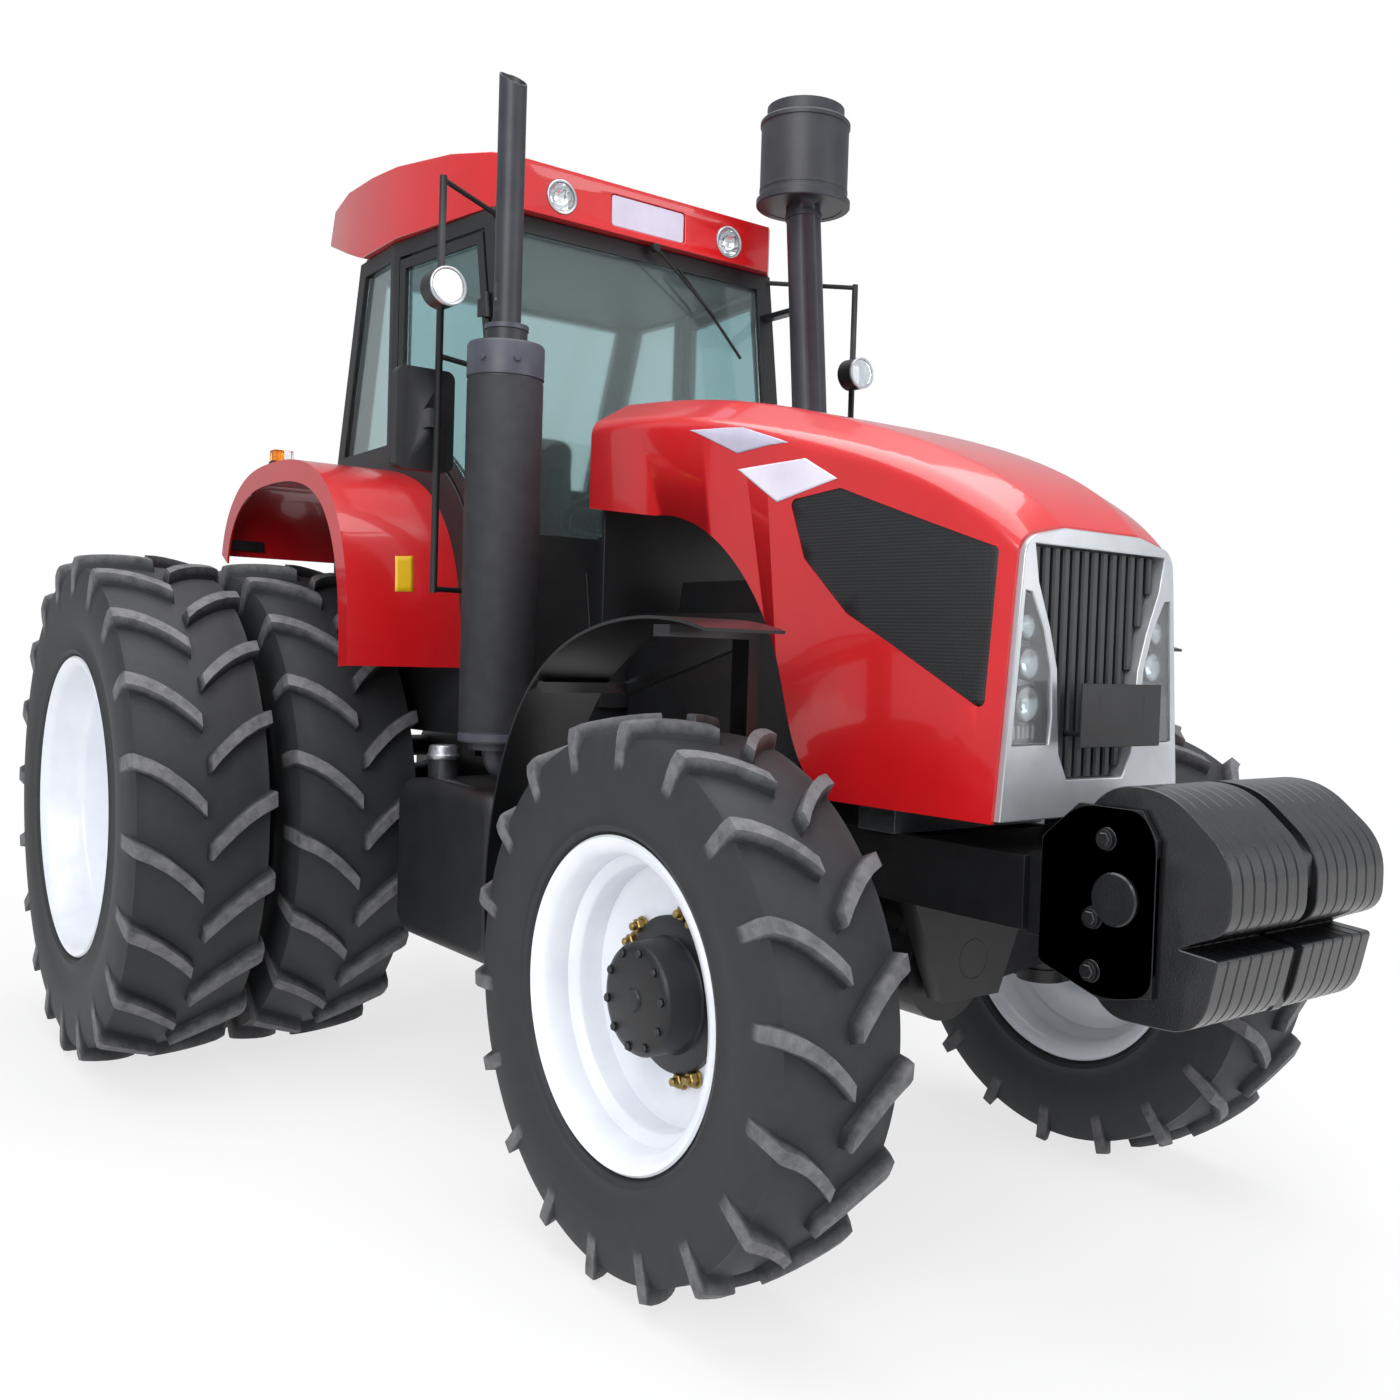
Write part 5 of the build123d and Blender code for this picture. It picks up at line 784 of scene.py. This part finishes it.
def ring_of(outline, wall, origin, u, v, depth):
    """A closed band of the given wall that follows an outline, pushed along u x v by depth."""
    outer = counter_clockwise(outline)
    inner = inset(outer, wall)
    u, v = np.asarray(u, float), np.asarray(v, float)
    w = np.cross(u, v)
    grid = np.stack([
        np.asarray(origin, float) + p[:, 0:1] * u + p[:, 1:2] * v + d * w
        for p, d in ((outer, 0), (outer, depth), (inner, depth), (inner, 0))
    ])
    return lattice(grid[::-1], wrap_u=True, wrap_v=True)


def round_lamp(centre, direction, radius, depth, bezel):
    """A lamp as three shapes: its turned bezel, its bowl and its domed lens."""
    d = np.asarray(direction, float)
    rim = lathe([(-depth, radius), (-0.004, radius + bezel), (0.004, radius + bezel),
                 (0.006, radius + bezel * 0.6), (0.004, radius), (-depth * 0.9, radius * 0.96),
                 (-depth, radius)], centre, d, 48)
    bowl = lathe([(-depth * 0.95, 0.0), (-depth * 0.8, radius * 0.45), (-depth * 0.45, radius * 0.8),
                  (-0.006, radius * 0.97), (-0.009, radius * 0.99), (-depth * 0.97, radius * 0.95),
                  (-depth * 0.99, 0.0)], centre, d, 48)
    lens = lathe([(-0.003, radius * 0.98), (0.001, radius * 0.98), (0.004, radius * 0.7),
                  (0.006, radius * 0.35), (0.0065, 0.0), (0.0035, 0.0), (0.002, radius * 0.35),
                  (0.0, radius * 0.7), (-0.003, radius * 0.98)], centre, d, 48)
    return rim, bowl, lens


def projected(name, corners, target, material, body, start, counts=(28, 16)):
    """Four corners' bilinear grid, moved out by start, laid on a target's nearest surface as a thin film."""
    a, b, c, d = (np.asarray(p, float) for p in corners)
    s = np.linspace(0, 1, counts[0])[:, None, None]
    t = np.linspace(0, 1, counts[1])[None, :, None]
    grid = (a * (1 - s) + b * s) * (1 - t) + (d * (1 - s) + c * s) * t + np.asarray(start, float)
    obj = piece(name, [lattice(grid)], material, body, smooth=60)
    wrap = obj.modifiers.new("wrap", "SHRINKWRAP")
    wrap.target = target
    wrap.wrap_method = "NEAREST_SURFACEPOINT"
    wrap.wrap_mode = "OUTSIDE_SURFACE"
    wrap.offset = FILM_LIFT
    thick = obj.modifiers.new("film", "SOLIDIFY")
    thick.thickness = FILM_THICKNESS
    thick.offset = 1.0
    graph = bpy.context.evaluated_depsgraph_get()
    baked = bpy.data.meshes.new_from_object(obj.evaluated_get(graph))
    obj.modifiers.clear()
    obj.data = baked
    faces_outward(baked)


class TRACTOR_OT_front_face(bpy.types.Operator):
    """Builds the grille's slats, the headlights, the blank plate and the hood's films"""

    bl_idname = "tractor.front_face"
    bl_label = "Front face"

    def execute(self, context):
        outline = np.vstack([GRILLE_HALF, GRILLE_HALF[::-1] * (-1, 1)])
        slats = [slab(counter_clockwise(outline), (1.932, 0, 0), *YZ, 0.006, 0.001)]
        low_edge = GRILLE_HALF[::-1]

        def upright(y, reach, half_width, depth, bevel):
            """A bar from the face's lower edge, taken at y + reach, to its upper edge."""
            foot = np.interp(abs(y) + reach, low_edge[:, 0], low_edge[:, 1]) + SLAT_FOOT_GAP
            left, right = y - half_width, y + half_width
            corners = [(left, foot), (right, foot), (right, SLAT_TOP_Z), (left, SLAT_TOP_Z)]
            slats.append(slab(corners, (1.938, 0, 0), *YZ, depth, bevel))

        for y in np.arange(-6, 7) * SLAT_PITCH:
            upright(y, 0.012, 0.013 if abs(y) < 0.2 else 0.010, 0.018, 0.005)
        # A thin line stands between every two slats.
        for y in np.arange(-6, 6) * SLAT_PITCH + SLAT_PITCH / 2:
            upright(y, 0.003, 0.002, 0.008, 0.001)
        piece("grille_slats", slats, MATERIALS["grille"], "hood", ("grille",), smooth=30)
        vent_panels(MATERIALS["mesh"])
        plate = [box((2.048, -0.160, 1.372), (2.053, 0.160, 1.528), 0.002)]
        for y in (-0.09, 0.09):
            rod = [(1.945, y, 1.40), (2.02, y, 1.40), (2.047, y, 1.41), (2.048, y, 1.50)]
            plate.append(pipe(rod, 0.006, 10))
        piece("blank_plate", plate, MATERIALS["plastic"], "hood", smooth=40)
        for side, label in SIDES:
            half = LAMP_HALF * (side, 1)
            rims, bowls, lenses = [ring_of(half, 0.005, (1.930, 0, 0), *YZ, 0.038)], [], []
            back = slab(inset(counter_clockwise(half), 0.004), (1.922, 0, 0), *YZ, 0.006)
            for y, z, r in LAMP_BOWLS:
                rim, bowl, lens = round_lamp((1.958, side * y, z), (1, 0, 0), r, 0.026, 0.005)
                rims.append(rim)
                bowls.append(bowl)
                lenses.append(lens)
            # Ribbed marker window under the three round lamps.
            window = []
            for k in range(6):
                near, far = side * (0.206 + 0.018 * k), side * (0.216 + 0.018 * k)
                rib = [(near, 1.388), (far, 1.388), (far, 1.420), (near, 1.420)]
                window.append(slab(rib, (1.928, 0, 0), *YZ, 0.020, 0.002))
            piece("headlight_rims_" + label, rims, MATERIALS["dark_rim"], "hood", ("headlights",), smooth=40)
            piece("headlight_back_" + label, [back] + window, MATERIALS["silver"], "hood")
            piece("headlight_bowls_" + label, bowls, MATERIALS["reflector"], "hood", smooth=50)
            piece("headlight_bowl_lenses_" + label, lenses, MATERIALS["lens"], "hood", smooth=60)
            cover = slab(inset(counter_clockwise(half), 0.002), (1.9685, 0, 0), *YZ, 0.003)
            piece("headlight_cover_" + label, [cover], MATERIALS["lens"], "hood", smooth=30)
        hood = bpy.data.objects["dressed_hood"]
        for side, label in reversed(SIDES):
            upper = [(0.728, side * 0.398, 2.251), (0.972, side * 0.376, 2.241), (1.189, side * 0.384, 2.172),
                     (0.968, side * 0.396, 2.155)]
            lower = [(0.971, side * 0.396, 2.108), (1.262, side * 0.386, 2.115), (1.389, side * 0.379, 2.050),
                     (1.150, side * 0.391, 2.001)]
            outside = (0, side * 0.02, 0.002)
            projected("hood_film_upper_" + label, upper, hood, MATERIALS["film"], "hood", outside)
            # The lower decal is real, but its nearly white colour is a painted highlight on the same film.
            projected("hood_film_lower_" + label, lower, hood, MATERIALS["film_light"], "hood", outside)
        return {"FINISHED"}


WEIGHT_OUTLINE = np.array([
    (2.150, 0.930), (2.150, 1.190), (2.260, 1.312), (2.412, 1.312), (2.570, 1.180), (2.570, 1.030),
    (2.480, 0.992), (2.450, 0.976), (2.546, 0.968), (2.510, 0.800), (2.280, 0.790),
])
WEIGHT_ROUNDS = np.array([0.01, 0.03, 0.07, 0.11, 0.12, 0.06, 0.008, 0.006, 0.012, 0.11, 0.05])
CHEEK_OUTLINE = np.array([
    (2.09, 0.885), (2.09, 1.175), (2.19, 1.262), (2.36, 1.262), (2.40, 1.20), (2.40, 0.86), (2.27, 0.83),
])
CHEEK_ROUNDS = np.array([0.02, 0.02, 0.05, 0.06, 0.05, 0.05, 0.05])
# The carrier between the two stacks fills the middle up to a notch at the front.
CARRIER_OUTLINE = np.array([
    (2.16, 0.94), (2.16, 1.185), (2.262, 1.300), (2.370, 1.300), (2.385, 1.255), (2.455, 1.215),
    (2.500, 1.215), (2.556, 1.170), (2.556, 1.095), (2.505, 1.085), (2.500, 1.010), (2.44, 0.985),
    (2.44, 0.960), (2.53, 0.955), (2.498, 0.812), (2.285, 0.802),
])


class TRACTOR_OT_weights(bpy.types.Operator):
    """Builds the front weights with their rounded lobes, the cheek plates and the bolts"""

    bl_idname = "tractor.weights"
    bl_label = "Front weights"

    def execute(self, context):
        outline = rounded(WEIGHT_OUTLINE, WEIGHT_ROUNDS, 8)
        cheek = rounded(CHEEK_OUTLINE, CHEEK_ROUNDS, 6)
        plates, bolts = [], []
        for side in (1, -1):
            for k in range(7):
                y = side * (0.0203 + k * 0.043)
                plates.append(slab(outline, (0, y, 0), *XZ, -side * 0.040, 0.0025))
            plates.append(slab(cheek, (0, side * 0.321, 0), *XZ, -side * 0.015, 0.002))
            plates.append(cylinder((2.30, side * 0.330, 1.06), (0, side, 0), 0.060, 0.018, 0.004, 40))
            for x, z in ((2.27, 1.19), (2.24, 1.01), (2.24, 0.89)):
                bolts.append(cylinder((x, side * 0.334, z), (0, side, 0), 0.026, 0.004, 0.001, 28))
                bolts.append(hex_bolt((x, side * 0.338, z), (0, side, 0), 0.030, 0.014))
        carrier = rounded(CARRIER_OUTLINE, 0.012, 3)
        plates.append(slab(carrier, (0, -0.0198, 0), *XZ, -0.0396, 0.001))
        piece("front_weight_plates", plates, MATERIALS["weight"], "root", ("front_weights",),
              smooth=35)
        piece("front_weight_bolts", bolts, MATERIALS["weight"], "root", smooth=35)
        return {"FINISHED"}


# ---- Stacks, lamps, mirrors and small fittings ----


class TRACTOR_OT_stacks(bpy.types.Operator):
    """Adds the muffler's heat shield and bands and the pre-cleaner's rings"""

    bl_idname = "tractor.stacks"
    bl_label = "Stacks"

    def execute(self, context):
        base = np.array([0.2, -0.75, 0.0])
        shield = [lathe([(1.300, 0.1185), (1.304, 0.1205), (2.410, 0.1205), (2.414, 0.1185), (1.300, 0.1185)],
                        base, UP, 96)]
        piece("muffler_heat_shield", shield, MATERIALS["shield"], "root", smooth=40)
        bands = [
            lathe([(2.420, 0.1185), (2.423, 0.1225), (2.522, 0.1225), (2.530, 0.117), (2.531, 0.068),
                   (2.420, 0.068), (2.420, 0.1185)], base, UP, 96),
            lathe([(1.268, 0.1185), (1.270, 0.1215), (1.292, 0.1215), (1.294, 0.1185), (1.268, 0.1185)],
                  base, UP, 96),
            lathe([(2.575, 0.0665), (2.577, 0.0700), (2.592, 0.0700), (2.594, 0.0450), (2.575, 0.0450),
                   (2.575, 0.0665)], base, UP, 64),
        ]
        for angle in (-1.1, -0.2, 2.4):
            d = np.array([math.cos(angle), math.sin(angle), 0])
            bands.append(hex_bolt(base + d * 0.1215 + (0, 0, 2.47), d, 0.018, 0.009))
        piece("muffler_bands", bands, MATERIALS["stack_light"], "root", smooth=40)
        top = np.array([0.09, 0.56, 0.0])
        rings = [
            lathe([(3.288, 0.150), (3.288, 0.176), (3.292, 0.180), (3.312, 0.180), (3.316, 0.170),
                   (3.330, 0.1685), (3.330, 0.150), (3.288, 0.150)], top, UP, 96),
            lathe([(3.585, 0.160), (3.590, 0.1725), (3.604, 0.1725), (3.612, 0.165), (3.614, 0.150),
                   (3.585, 0.160)], top, UP, 96),
            lathe([(3.340, 0.1675), (3.342, 0.1695), (3.352, 0.1695), (3.354, 0.1675), (3.340, 0.1675)],
                  top, UP, 96),
        ]
        # Two clamps on the leaning pipe, which runs from the hood up to the pre-cleaner.
        foot = np.array([0.25, 0.555, 1.72])
        lean = np.array([0.09 - 0.25, 0.005, 3.31 - 1.72])
        for z in (3.24, 3.24 - 0.9):
            middle = foot + lean * ((z - foot[2]) / lean[2])
            middle[2] = z
            rings.append(lathe([(0, 0.066), (0.002, 0.0705), (0.022, 0.0705), (0.024, 0.066), (0, 0.066)],
                               middle, lean, 64))
        piece("pre_cleaner_rings", rings, MATERIALS["stack"], "root", smooth=40)
        return {"FINISHED"}


class TRACTOR_OT_lamps(bpy.types.Operator):
    """Builds the roof lamps, the marker and tail lamps, the mirror arms' lamps and the mirror glass"""

    bl_idname = "tractor.lamps"
    bl_label = "Lamps and mirrors"

    def execute(self, context):
        rims, bowls, lenses, housings, ambers, reds, glasses = ([] for _ in range(7))
        for side in (1, -1):
            rim, bowl, lens = round_lamp((-0.128, side * 0.373, 3.168), (1, 0, 0), 0.052, 0.050, 0.008)
            rims.append(rim)
            bowls.append(bowl)
            lenses.append(lens)
            # The mirror arms' lamps are flat, so a disc stands in for the bowl.
            rim, bowl, lens = round_lamp((0.086, side * 0.90, 2.713), (1, 0, 0), 0.054, 0.004, 0.008)
            rims.append(rim)
            lenses.append(lens)
            bowls.append(cylinder((0.081, side * 0.90, 2.713), (1, 0, 0), 0.052, 0.003, 0.0, 40))
            glass_y = side * 0.92
            glasses.append(box((-0.0625, glass_y - 0.09, 2.145), (-0.0603, glass_y + 0.09, 2.455), 0.0008))
            # Work lamps under the roof's rear edge.
            low, high = sorted((side * 0.362, side * 0.488))
            housings.append(box((-1.592, low, 3.130), (-1.540, high, 3.226), 0.006))
            lenses.append(box((-1.600, low + 0.008, 3.138), (-1.5925, high - 0.008, 3.218), 0.002))
            bowls.append(box((-1.5924, low + 0.010, 3.140), (-1.5915, high - 0.010, 3.216)))
            # Marker lamps on the fenders: amber outside, clear inside.
            ambers.append(box((-1.148, side * 1.000, 2.252), (-1.092, side * 1.038, 2.295), 0.005))
            lenses.append(box((-1.148, side * 0.962, 2.252), (-1.092, side * 0.9995, 2.295), 0.005))
            housings.append(box((-1.150, side * 0.960, 2.243), (-1.090, side * 1.040, 2.2518), 0.002))
            # Tail lamps: red over a black housing.
            low, high = sorted((side * 0.884, side * 1.026))
            reds.append(box((-1.710, low, 1.936), (-1.694, high, 2.030), 0.004))
            housings.append(box((-1.6938, low, 1.934), (-1.640, high, 2.032), 0.004))
        piece("lamp_rims", rims, MATERIALS["silver"], "root", ("lamps",), smooth=40)
        piece("lamp_housings", housings, MATERIALS["plastic"], "root", ("lamps",), smooth=40)
        piece("lamp_bowls", bowls, MATERIALS["reflector"], "root", ("lamps",), smooth=50)
        piece("lamp_lenses", lenses, MATERIALS["lens"], "root", ("lamps",), smooth=60)
        piece("marker_amber_lenses", ambers, MATERIALS["amber"], "root", smooth=40)
        piece("tail_lamp_lenses", reds, MATERIALS["red_lens"], "root", smooth=40)
        piece("mirror_glass", glasses, MATERIALS["mirror"], "root", smooth=30)
        return {"FINISHED"}


class TRACTOR_OT_fittings(bpy.types.Operator):
    """Adds the roof's blank panel, the wiper, the tank's cap and taps and the blank yellow labels"""

    bl_idname = "tractor.fittings"
    bl_label = "Small fittings"

    def execute(self, context):
        corners = [(-0.160, 3.119), (0.160, 3.119), (0.160, 3.229), (-0.160, 3.229)]
        panel = slab(rounded(corners, 0.012, 4), (-0.1385, 0, 0), *YZ, 0.006, 0.0015)
        piece("roof_blank_panel", [panel], MATERIALS["film"], "root", smooth=40)
        wiper = [
            cylinder((-0.140, 0.03, 3.075), (1, 0, -0.1), 0.016, 0.030, 0.003, 24),
            pipe([(-0.118, 0.03, 3.072), (-0.112, 0.14, 2.985), (-0.104, 0.30, 2.860)], 0.005, 8),
            pipe([(-0.130, 0.14, 3.020), (-0.112, 0.30, 2.860), (-0.090, 0.42, 2.720)], 0.006, 8),
        ]
        piece("wiper", wiper, MATERIALS["seal"], "root", smooth=40)
        cap = lathe([(1.176, 0.052), (1.182, 0.056), (1.190, 0.056), (1.196, 0.050), (1.218, 0.048),
                     (1.224, 0.042), (1.226, 0.0)], (-0.20, -0.74, 0), UP, 48)
        piece("tank_cap", [cap], MATERIALS["zinc"], "root", smooth=40)
        for colour, finish_name, x, radius, bevel in (
            ("red", "cap", 0.203, 0.014, 0.002), ("silver", "zinc", 0.240, 0.017, 0.003),
        ):
            tap = cylinder((x, -0.846, 1.058), (0, -1, 0.1), radius, 0.008, bevel, 24)
            piece("tank_tap_" + colour, [tap], MATERIALS[finish_name], "root", smooth=40)
        for side, label in SIDES:
            fender = bpy.data.objects["dressed_rear_fender_" + label]
            corners = [(-0.356, side * 0.865, 1.873), (-0.358, side * 0.798, 1.878),
                       (-0.323, side * 0.810, 1.750), (-0.323, side * 0.877, 1.747)]
            projected("fender_label_" + label, corners, fender, MATERIALS["yellow"], "root", (0.01, 0, 0.003),
                      counts=(6, 8))
        return {"FINISHED"}


# ---- Seat ----


VOXEL = 0.010
PRESSURE = 4.0
LAST_FRAME = 20


def mesh_points(mesh):
    """A mesh's points as rows of three."""
    flat = np.empty(len(mesh.vertices) * 3, np.float32)
    mesh.vertices.foreach_get("co", flat)
    return flat.reshape(-1, 3)


def stuffed(name, shape, cap, material, node):
    """
    A cushion: the shape is remeshed, swollen as cloth under inner pressure and held within the cap, then
    subdivided once. Each point moves from its start p0 to p0 + d * min(1, cap / |d|).
    """
    obj = piece(name, [shape], material, "root", (node,), smooth=0)
    remesh = obj.modifiers.new("voxels", "REMESH")
    remesh.mode = "VOXEL"
    remesh.voxel_size = VOXEL
    graph = bpy.context.evaluated_depsgraph_get()
    start = bpy.data.meshes.new_from_object(obj.evaluated_get(graph))
    obj.modifiers.clear()
    obj.data = start
    first = mesh_points(start)
    cloth = obj.modifiers.new("swell", "CLOTH")
    cloth.settings.quality = 5
    cloth.settings.mass = 0.3
    cloth.settings.tension_stiffness = 12
    cloth.settings.compression_stiffness = 12
    cloth.settings.use_pressure = True
    cloth.settings.uniform_pressure_force = PRESSURE
    cloth.settings.effector_weights.gravity = 0.0
    scene = bpy.context.scene
    for number in range(1, LAST_FRAME + 1):
        scene.frame_set(number)
    graph = bpy.context.evaluated_depsgraph_get()
    swollen = bpy.data.meshes.new_from_object(obj.evaluated_get(graph))
    move = mesh_points(swollen) - first
    reach = np.linalg.norm(move, axis=1)
    move *= np.minimum(1.0, cap / np.maximum(reach, 1e-6))[:, None]
    swollen.vertices.foreach_set("co", (first + move).ravel())
    swollen.update()
    obj.modifiers.clear()
    obj.data = swollen
    scene.frame_set(1)
    swollen.materials.clear()
    swollen.materials.append(material)
    swollen.shade_smooth()
    finer = obj.modifiers.new("finer", "SUBSURF")
    finer.levels = 1
    finer.render_levels = 1


class TRACTOR_OT_seat(bpy.types.Operator):
    """Makes the seat's cushion and backrest as stuffed cloth"""

    bl_idname = "tractor.seat"
    bl_label = "Seat"

    def execute(self, context):
        cushion = box((-1.012, -0.232, 1.738), (-0.568, 0.232, 1.842), 0.035)
        stuffed("seat_cushion_cloth", cushion, 0.016, MATERIALS["cloth"], "seat_cushion")
        corners = [(-0.222, 1.888), (0.222, 1.888), (0.205, 2.472), (-0.205, 2.472)]
        back = slab(rounded(corners, 0.07, 4), (-1.020, 0, 0), *YZ, 0.072, 0.02)
        stuffed("seat_backrest_cloth", back, 0.014, MATERIALS["cloth"], "seat_backrest")
        return {"FINISHED"}


# ---- Stage ----


FLOOR_HALF = 60
FLOOR_DROP = 0.0005
# Where the photograph was taken from: the camera's place, and its yaw, pitch and roll in radians.
CAMERA_PLACE = (4.09778, -2.81347, 1.57636)
CAMERA_TURN = (2.470146, -0.031084, 0.032166)


def lamp(name, place, aim, size, power):
    """A square soft lamp that points at aim."""
    data = bpy.data.lights.new(name, "AREA")
    data.shape = "SQUARE"
    data.size = size
    data.energy = power
    obj = bpy.data.objects.new(name, data)
    obj.location = place
    obj.rotation_euler = (Vector(aim) - Vector(place)).to_track_quat("-Z", "Y").to_euler()
    bpy.context.scene.collection.objects.link(obj)


class TRACTOR_OT_stage(bpy.types.Operator):
    """Sets the floor, the soft lamps, the plain surroundings and the camera"""

    bl_idname = "tractor.stage"
    bl_label = "Stage"

    def execute(self, context):
        s = context.scene.tractor
        scene = context.scene
        scene.view_settings.view_transform = "Standard"
        yaw, pitch, roll = CAMERA_TURN
        forward = Vector((math.cos(pitch) * math.cos(yaw), math.cos(pitch) * math.sin(yaw), math.sin(pitch)))
        right = Vector((math.sin(yaw), -math.cos(yaw), 0))
        up = right.cross(forward)
        right_rolled = right * math.cos(roll) + up * math.sin(roll)
        up_rolled = up * math.cos(roll) - right * math.sin(roll)
        data = bpy.data.cameras.new("camera")
        data.sensor_fit = "HORIZONTAL"
        data.sensor_width = 36
        data.lens = s.lens
        data.shift_x = -0.0348
        data.shift_y = -0.0038
        data.clip_end = 200
        cam = bpy.data.objects.new("camera", data)
        turn = Matrix((right_rolled, up_rolled, -forward)).transposed().to_4x4()
        cam.matrix_world = Matrix.Translation(CAMERA_PLACE) @ turn
        scene.collection.objects.link(cam)
        scene.camera = cam
        # Floor: a pale sheet that the camera sees as nearly white, with the tractor's soft shadow on it.
        mesh = bpy.data.meshes.new("floor")
        corners = [(x * FLOOR_HALF, y * FLOOR_HALF, -FLOOR_DROP) for x in (-1, 1) for y in (-1, 1)]
        mesh.from_pydata(corners, [], [(0, 2, 3, 1)])
        floor = bpy.data.objects.new("floor", mesh)
        scene.collection.objects.link(floor)
        mat, tree, place = empty_material("white_paper_floor")
        path = add_node(tree, "ShaderNodeLightPath")
        seen = add_node(tree, "ShaderNodeMath", {"operation": "MAXIMUM"},
                        links={0: path.outputs["Is Camera Ray"], 1: path.outputs["Is Glossy Ray"]})
        seen = add_node(tree, "ShaderNodeMath", {"operation": "MAXIMUM"},
                        links={0: seen.outputs[0], 1: path.outputs["Is Transmission Ray"]})
        far = add_node(tree, "ShaderNodeVectorMath", {"operation": "LENGTH"},
                       links={0: place.outputs["Object"]})
        glowing = add_node(tree, "ShaderNodeMapRange", {"interpolation_type": "SMOOTHSTEP"},
                           links={"Value": far.outputs["Value"]},
                           From_Min=2.6, From_Max=6.5, To_Min=0.74, To_Max=1.0)
        share = add_node(tree, "ShaderNodeMath", {"operation": "MULTIPLY"},
                         links={0: seen.outputs[0], 1: glowing.outputs["Result"]})
        matt = add_node(tree, "ShaderNodeBsdfDiffuse", Color=(0.8, 0.8, 0.8, 1))
        glow = add_node(tree, "ShaderNodeEmission", Color=(1, 1, 1, 1), Strength=1.0)
        mix = add_node(tree, "ShaderNodeMixShader",
                       links={0: share.outputs[0], 1: matt.outputs[0], 2: glow.outputs[0]})
        add_node(tree, "ShaderNodeOutputMaterial", links={"Surface": mix.outputs[0]})
        mesh.materials.append(mat)
        # Surroundings: white where seen directly or through glass, a plain grey as a light.
        world = bpy.data.worlds.new("studio")
        scene.world = world
        world.use_nodes = True
        tree = world.node_tree
        tree.nodes.clear()
        path = add_node(tree, "ShaderNodeLightPath")
        seen = add_node(tree, "ShaderNodeMath", {"operation": "MAXIMUM"},
                        links={0: path.outputs["Is Camera Ray"], 1: path.outputs["Is Transmission Ray"]})
        plain = add_node(tree, "ShaderNodeBackground", Color=(0.93, 0.96, 1, 1), Strength=s.sky_level)
        white = add_node(tree, "ShaderNodeBackground", Color=(1, 1, 1, 1), Strength=1.0)
        mix = add_node(tree, "ShaderNodeMixShader",
                       links={0: seen.outputs[0], 1: plain.outputs[0], 2: white.outputs[0]})
        add_node(tree, "ShaderNodeOutputWorld", links={"Surface": mix.outputs[0]})
        lamp("overhead_softbox", (0.5, -0.5, 8.0), (0, 0, 1), 8.0, 620)
        lamp("key_softbox", (5.5, -7.0, 5.5), (0, 0, 1.4), 5.0, 420)
        lamp("fill_softbox", (7.5, 3.5, 3.5), (0.6, 0, 1.2), 4.0, 160)
        return {"FINISHED"}


class TractorSettings(bpy.types.PropertyGroup):
    """Sizes and colours that a user would change"""

    body_red: StringProperty(name="Body red", description="Colour of the hood, roof and fenders",
                             default="#C8141A")
    body_red_shade: StringProperty(name="Body red shade", description="Second, darker body colour",
                                   default="#BC1117")
    front_bars: IntProperty(name="Front bars", description="Tread bars on each side of a front tyre",
                            default=18)
    rear_bars: IntProperty(name="Rear bars", description="Tread bars on each side of a rear tyre",
                           default=20)
    front_bar_height: FloatProperty(name="Front bar height", description="Depth of the front tyres' tread",
                                    default=0.038, unit="LENGTH")
    rear_bar_height: FloatProperty(name="Rear bar height", description="Depth of the rear tyres' tread",
                                   default=0.042, unit="LENGTH")
    lens: FloatProperty(name="Lens", description="Focal length of the camera in millimetres", default=34.655)
    sky_level: FloatProperty(name="Sky level", description="Strength of the plain surroundings",
                             default=0.55)


STEPS = (
    "stage", "frame_finishes", "tyres", "wheels", "front_face", "weights", "stacks", "lamps", "fittings",
    "seat",
)


class TRACTOR_PT_panel(bpy.types.Panel):
    """Lists the tractor's steps"""

    bl_idname = "TRACTOR_PT_panel"
    bl_label = "Tractor"
    bl_space_type = "VIEW_3D"
    bl_region_type = "UI"
    bl_category = "Tractor"

    def draw(self, context):
        for key in ("front_bars", "rear_bars", "front_bar_height", "rear_bar_height", "lens", "sky_level"):
            self.layout.prop(context.scene.tractor, key)
        for step in STEPS:
            self.layout.operator("tractor." + step)


CLASSES = (
    TractorSettings, TRACTOR_OT_stage, TRACTOR_OT_frame_finishes, TRACTOR_OT_tyres, TRACTOR_OT_wheels,
    TRACTOR_OT_front_face, TRACTOR_OT_weights, TRACTOR_OT_stacks, TRACTOR_OT_lamps, TRACTOR_OT_fittings,
    TRACTOR_OT_seat, TRACTOR_PT_panel,
)


def register():
    for cls in CLASSES:
        bpy.utils.register_class(cls)
    bpy.types.Scene.tractor = PointerProperty(type=TractorSettings)


def unregister():
    del bpy.types.Scene.tractor
    for cls in reversed(CLASSES):
        bpy.utils.unregister_class(cls)


def main():
    register()
    make_materials()
    for step in STEPS:
        getattr(bpy.ops.tractor, step)()


if __name__ == "__main__":
    main()
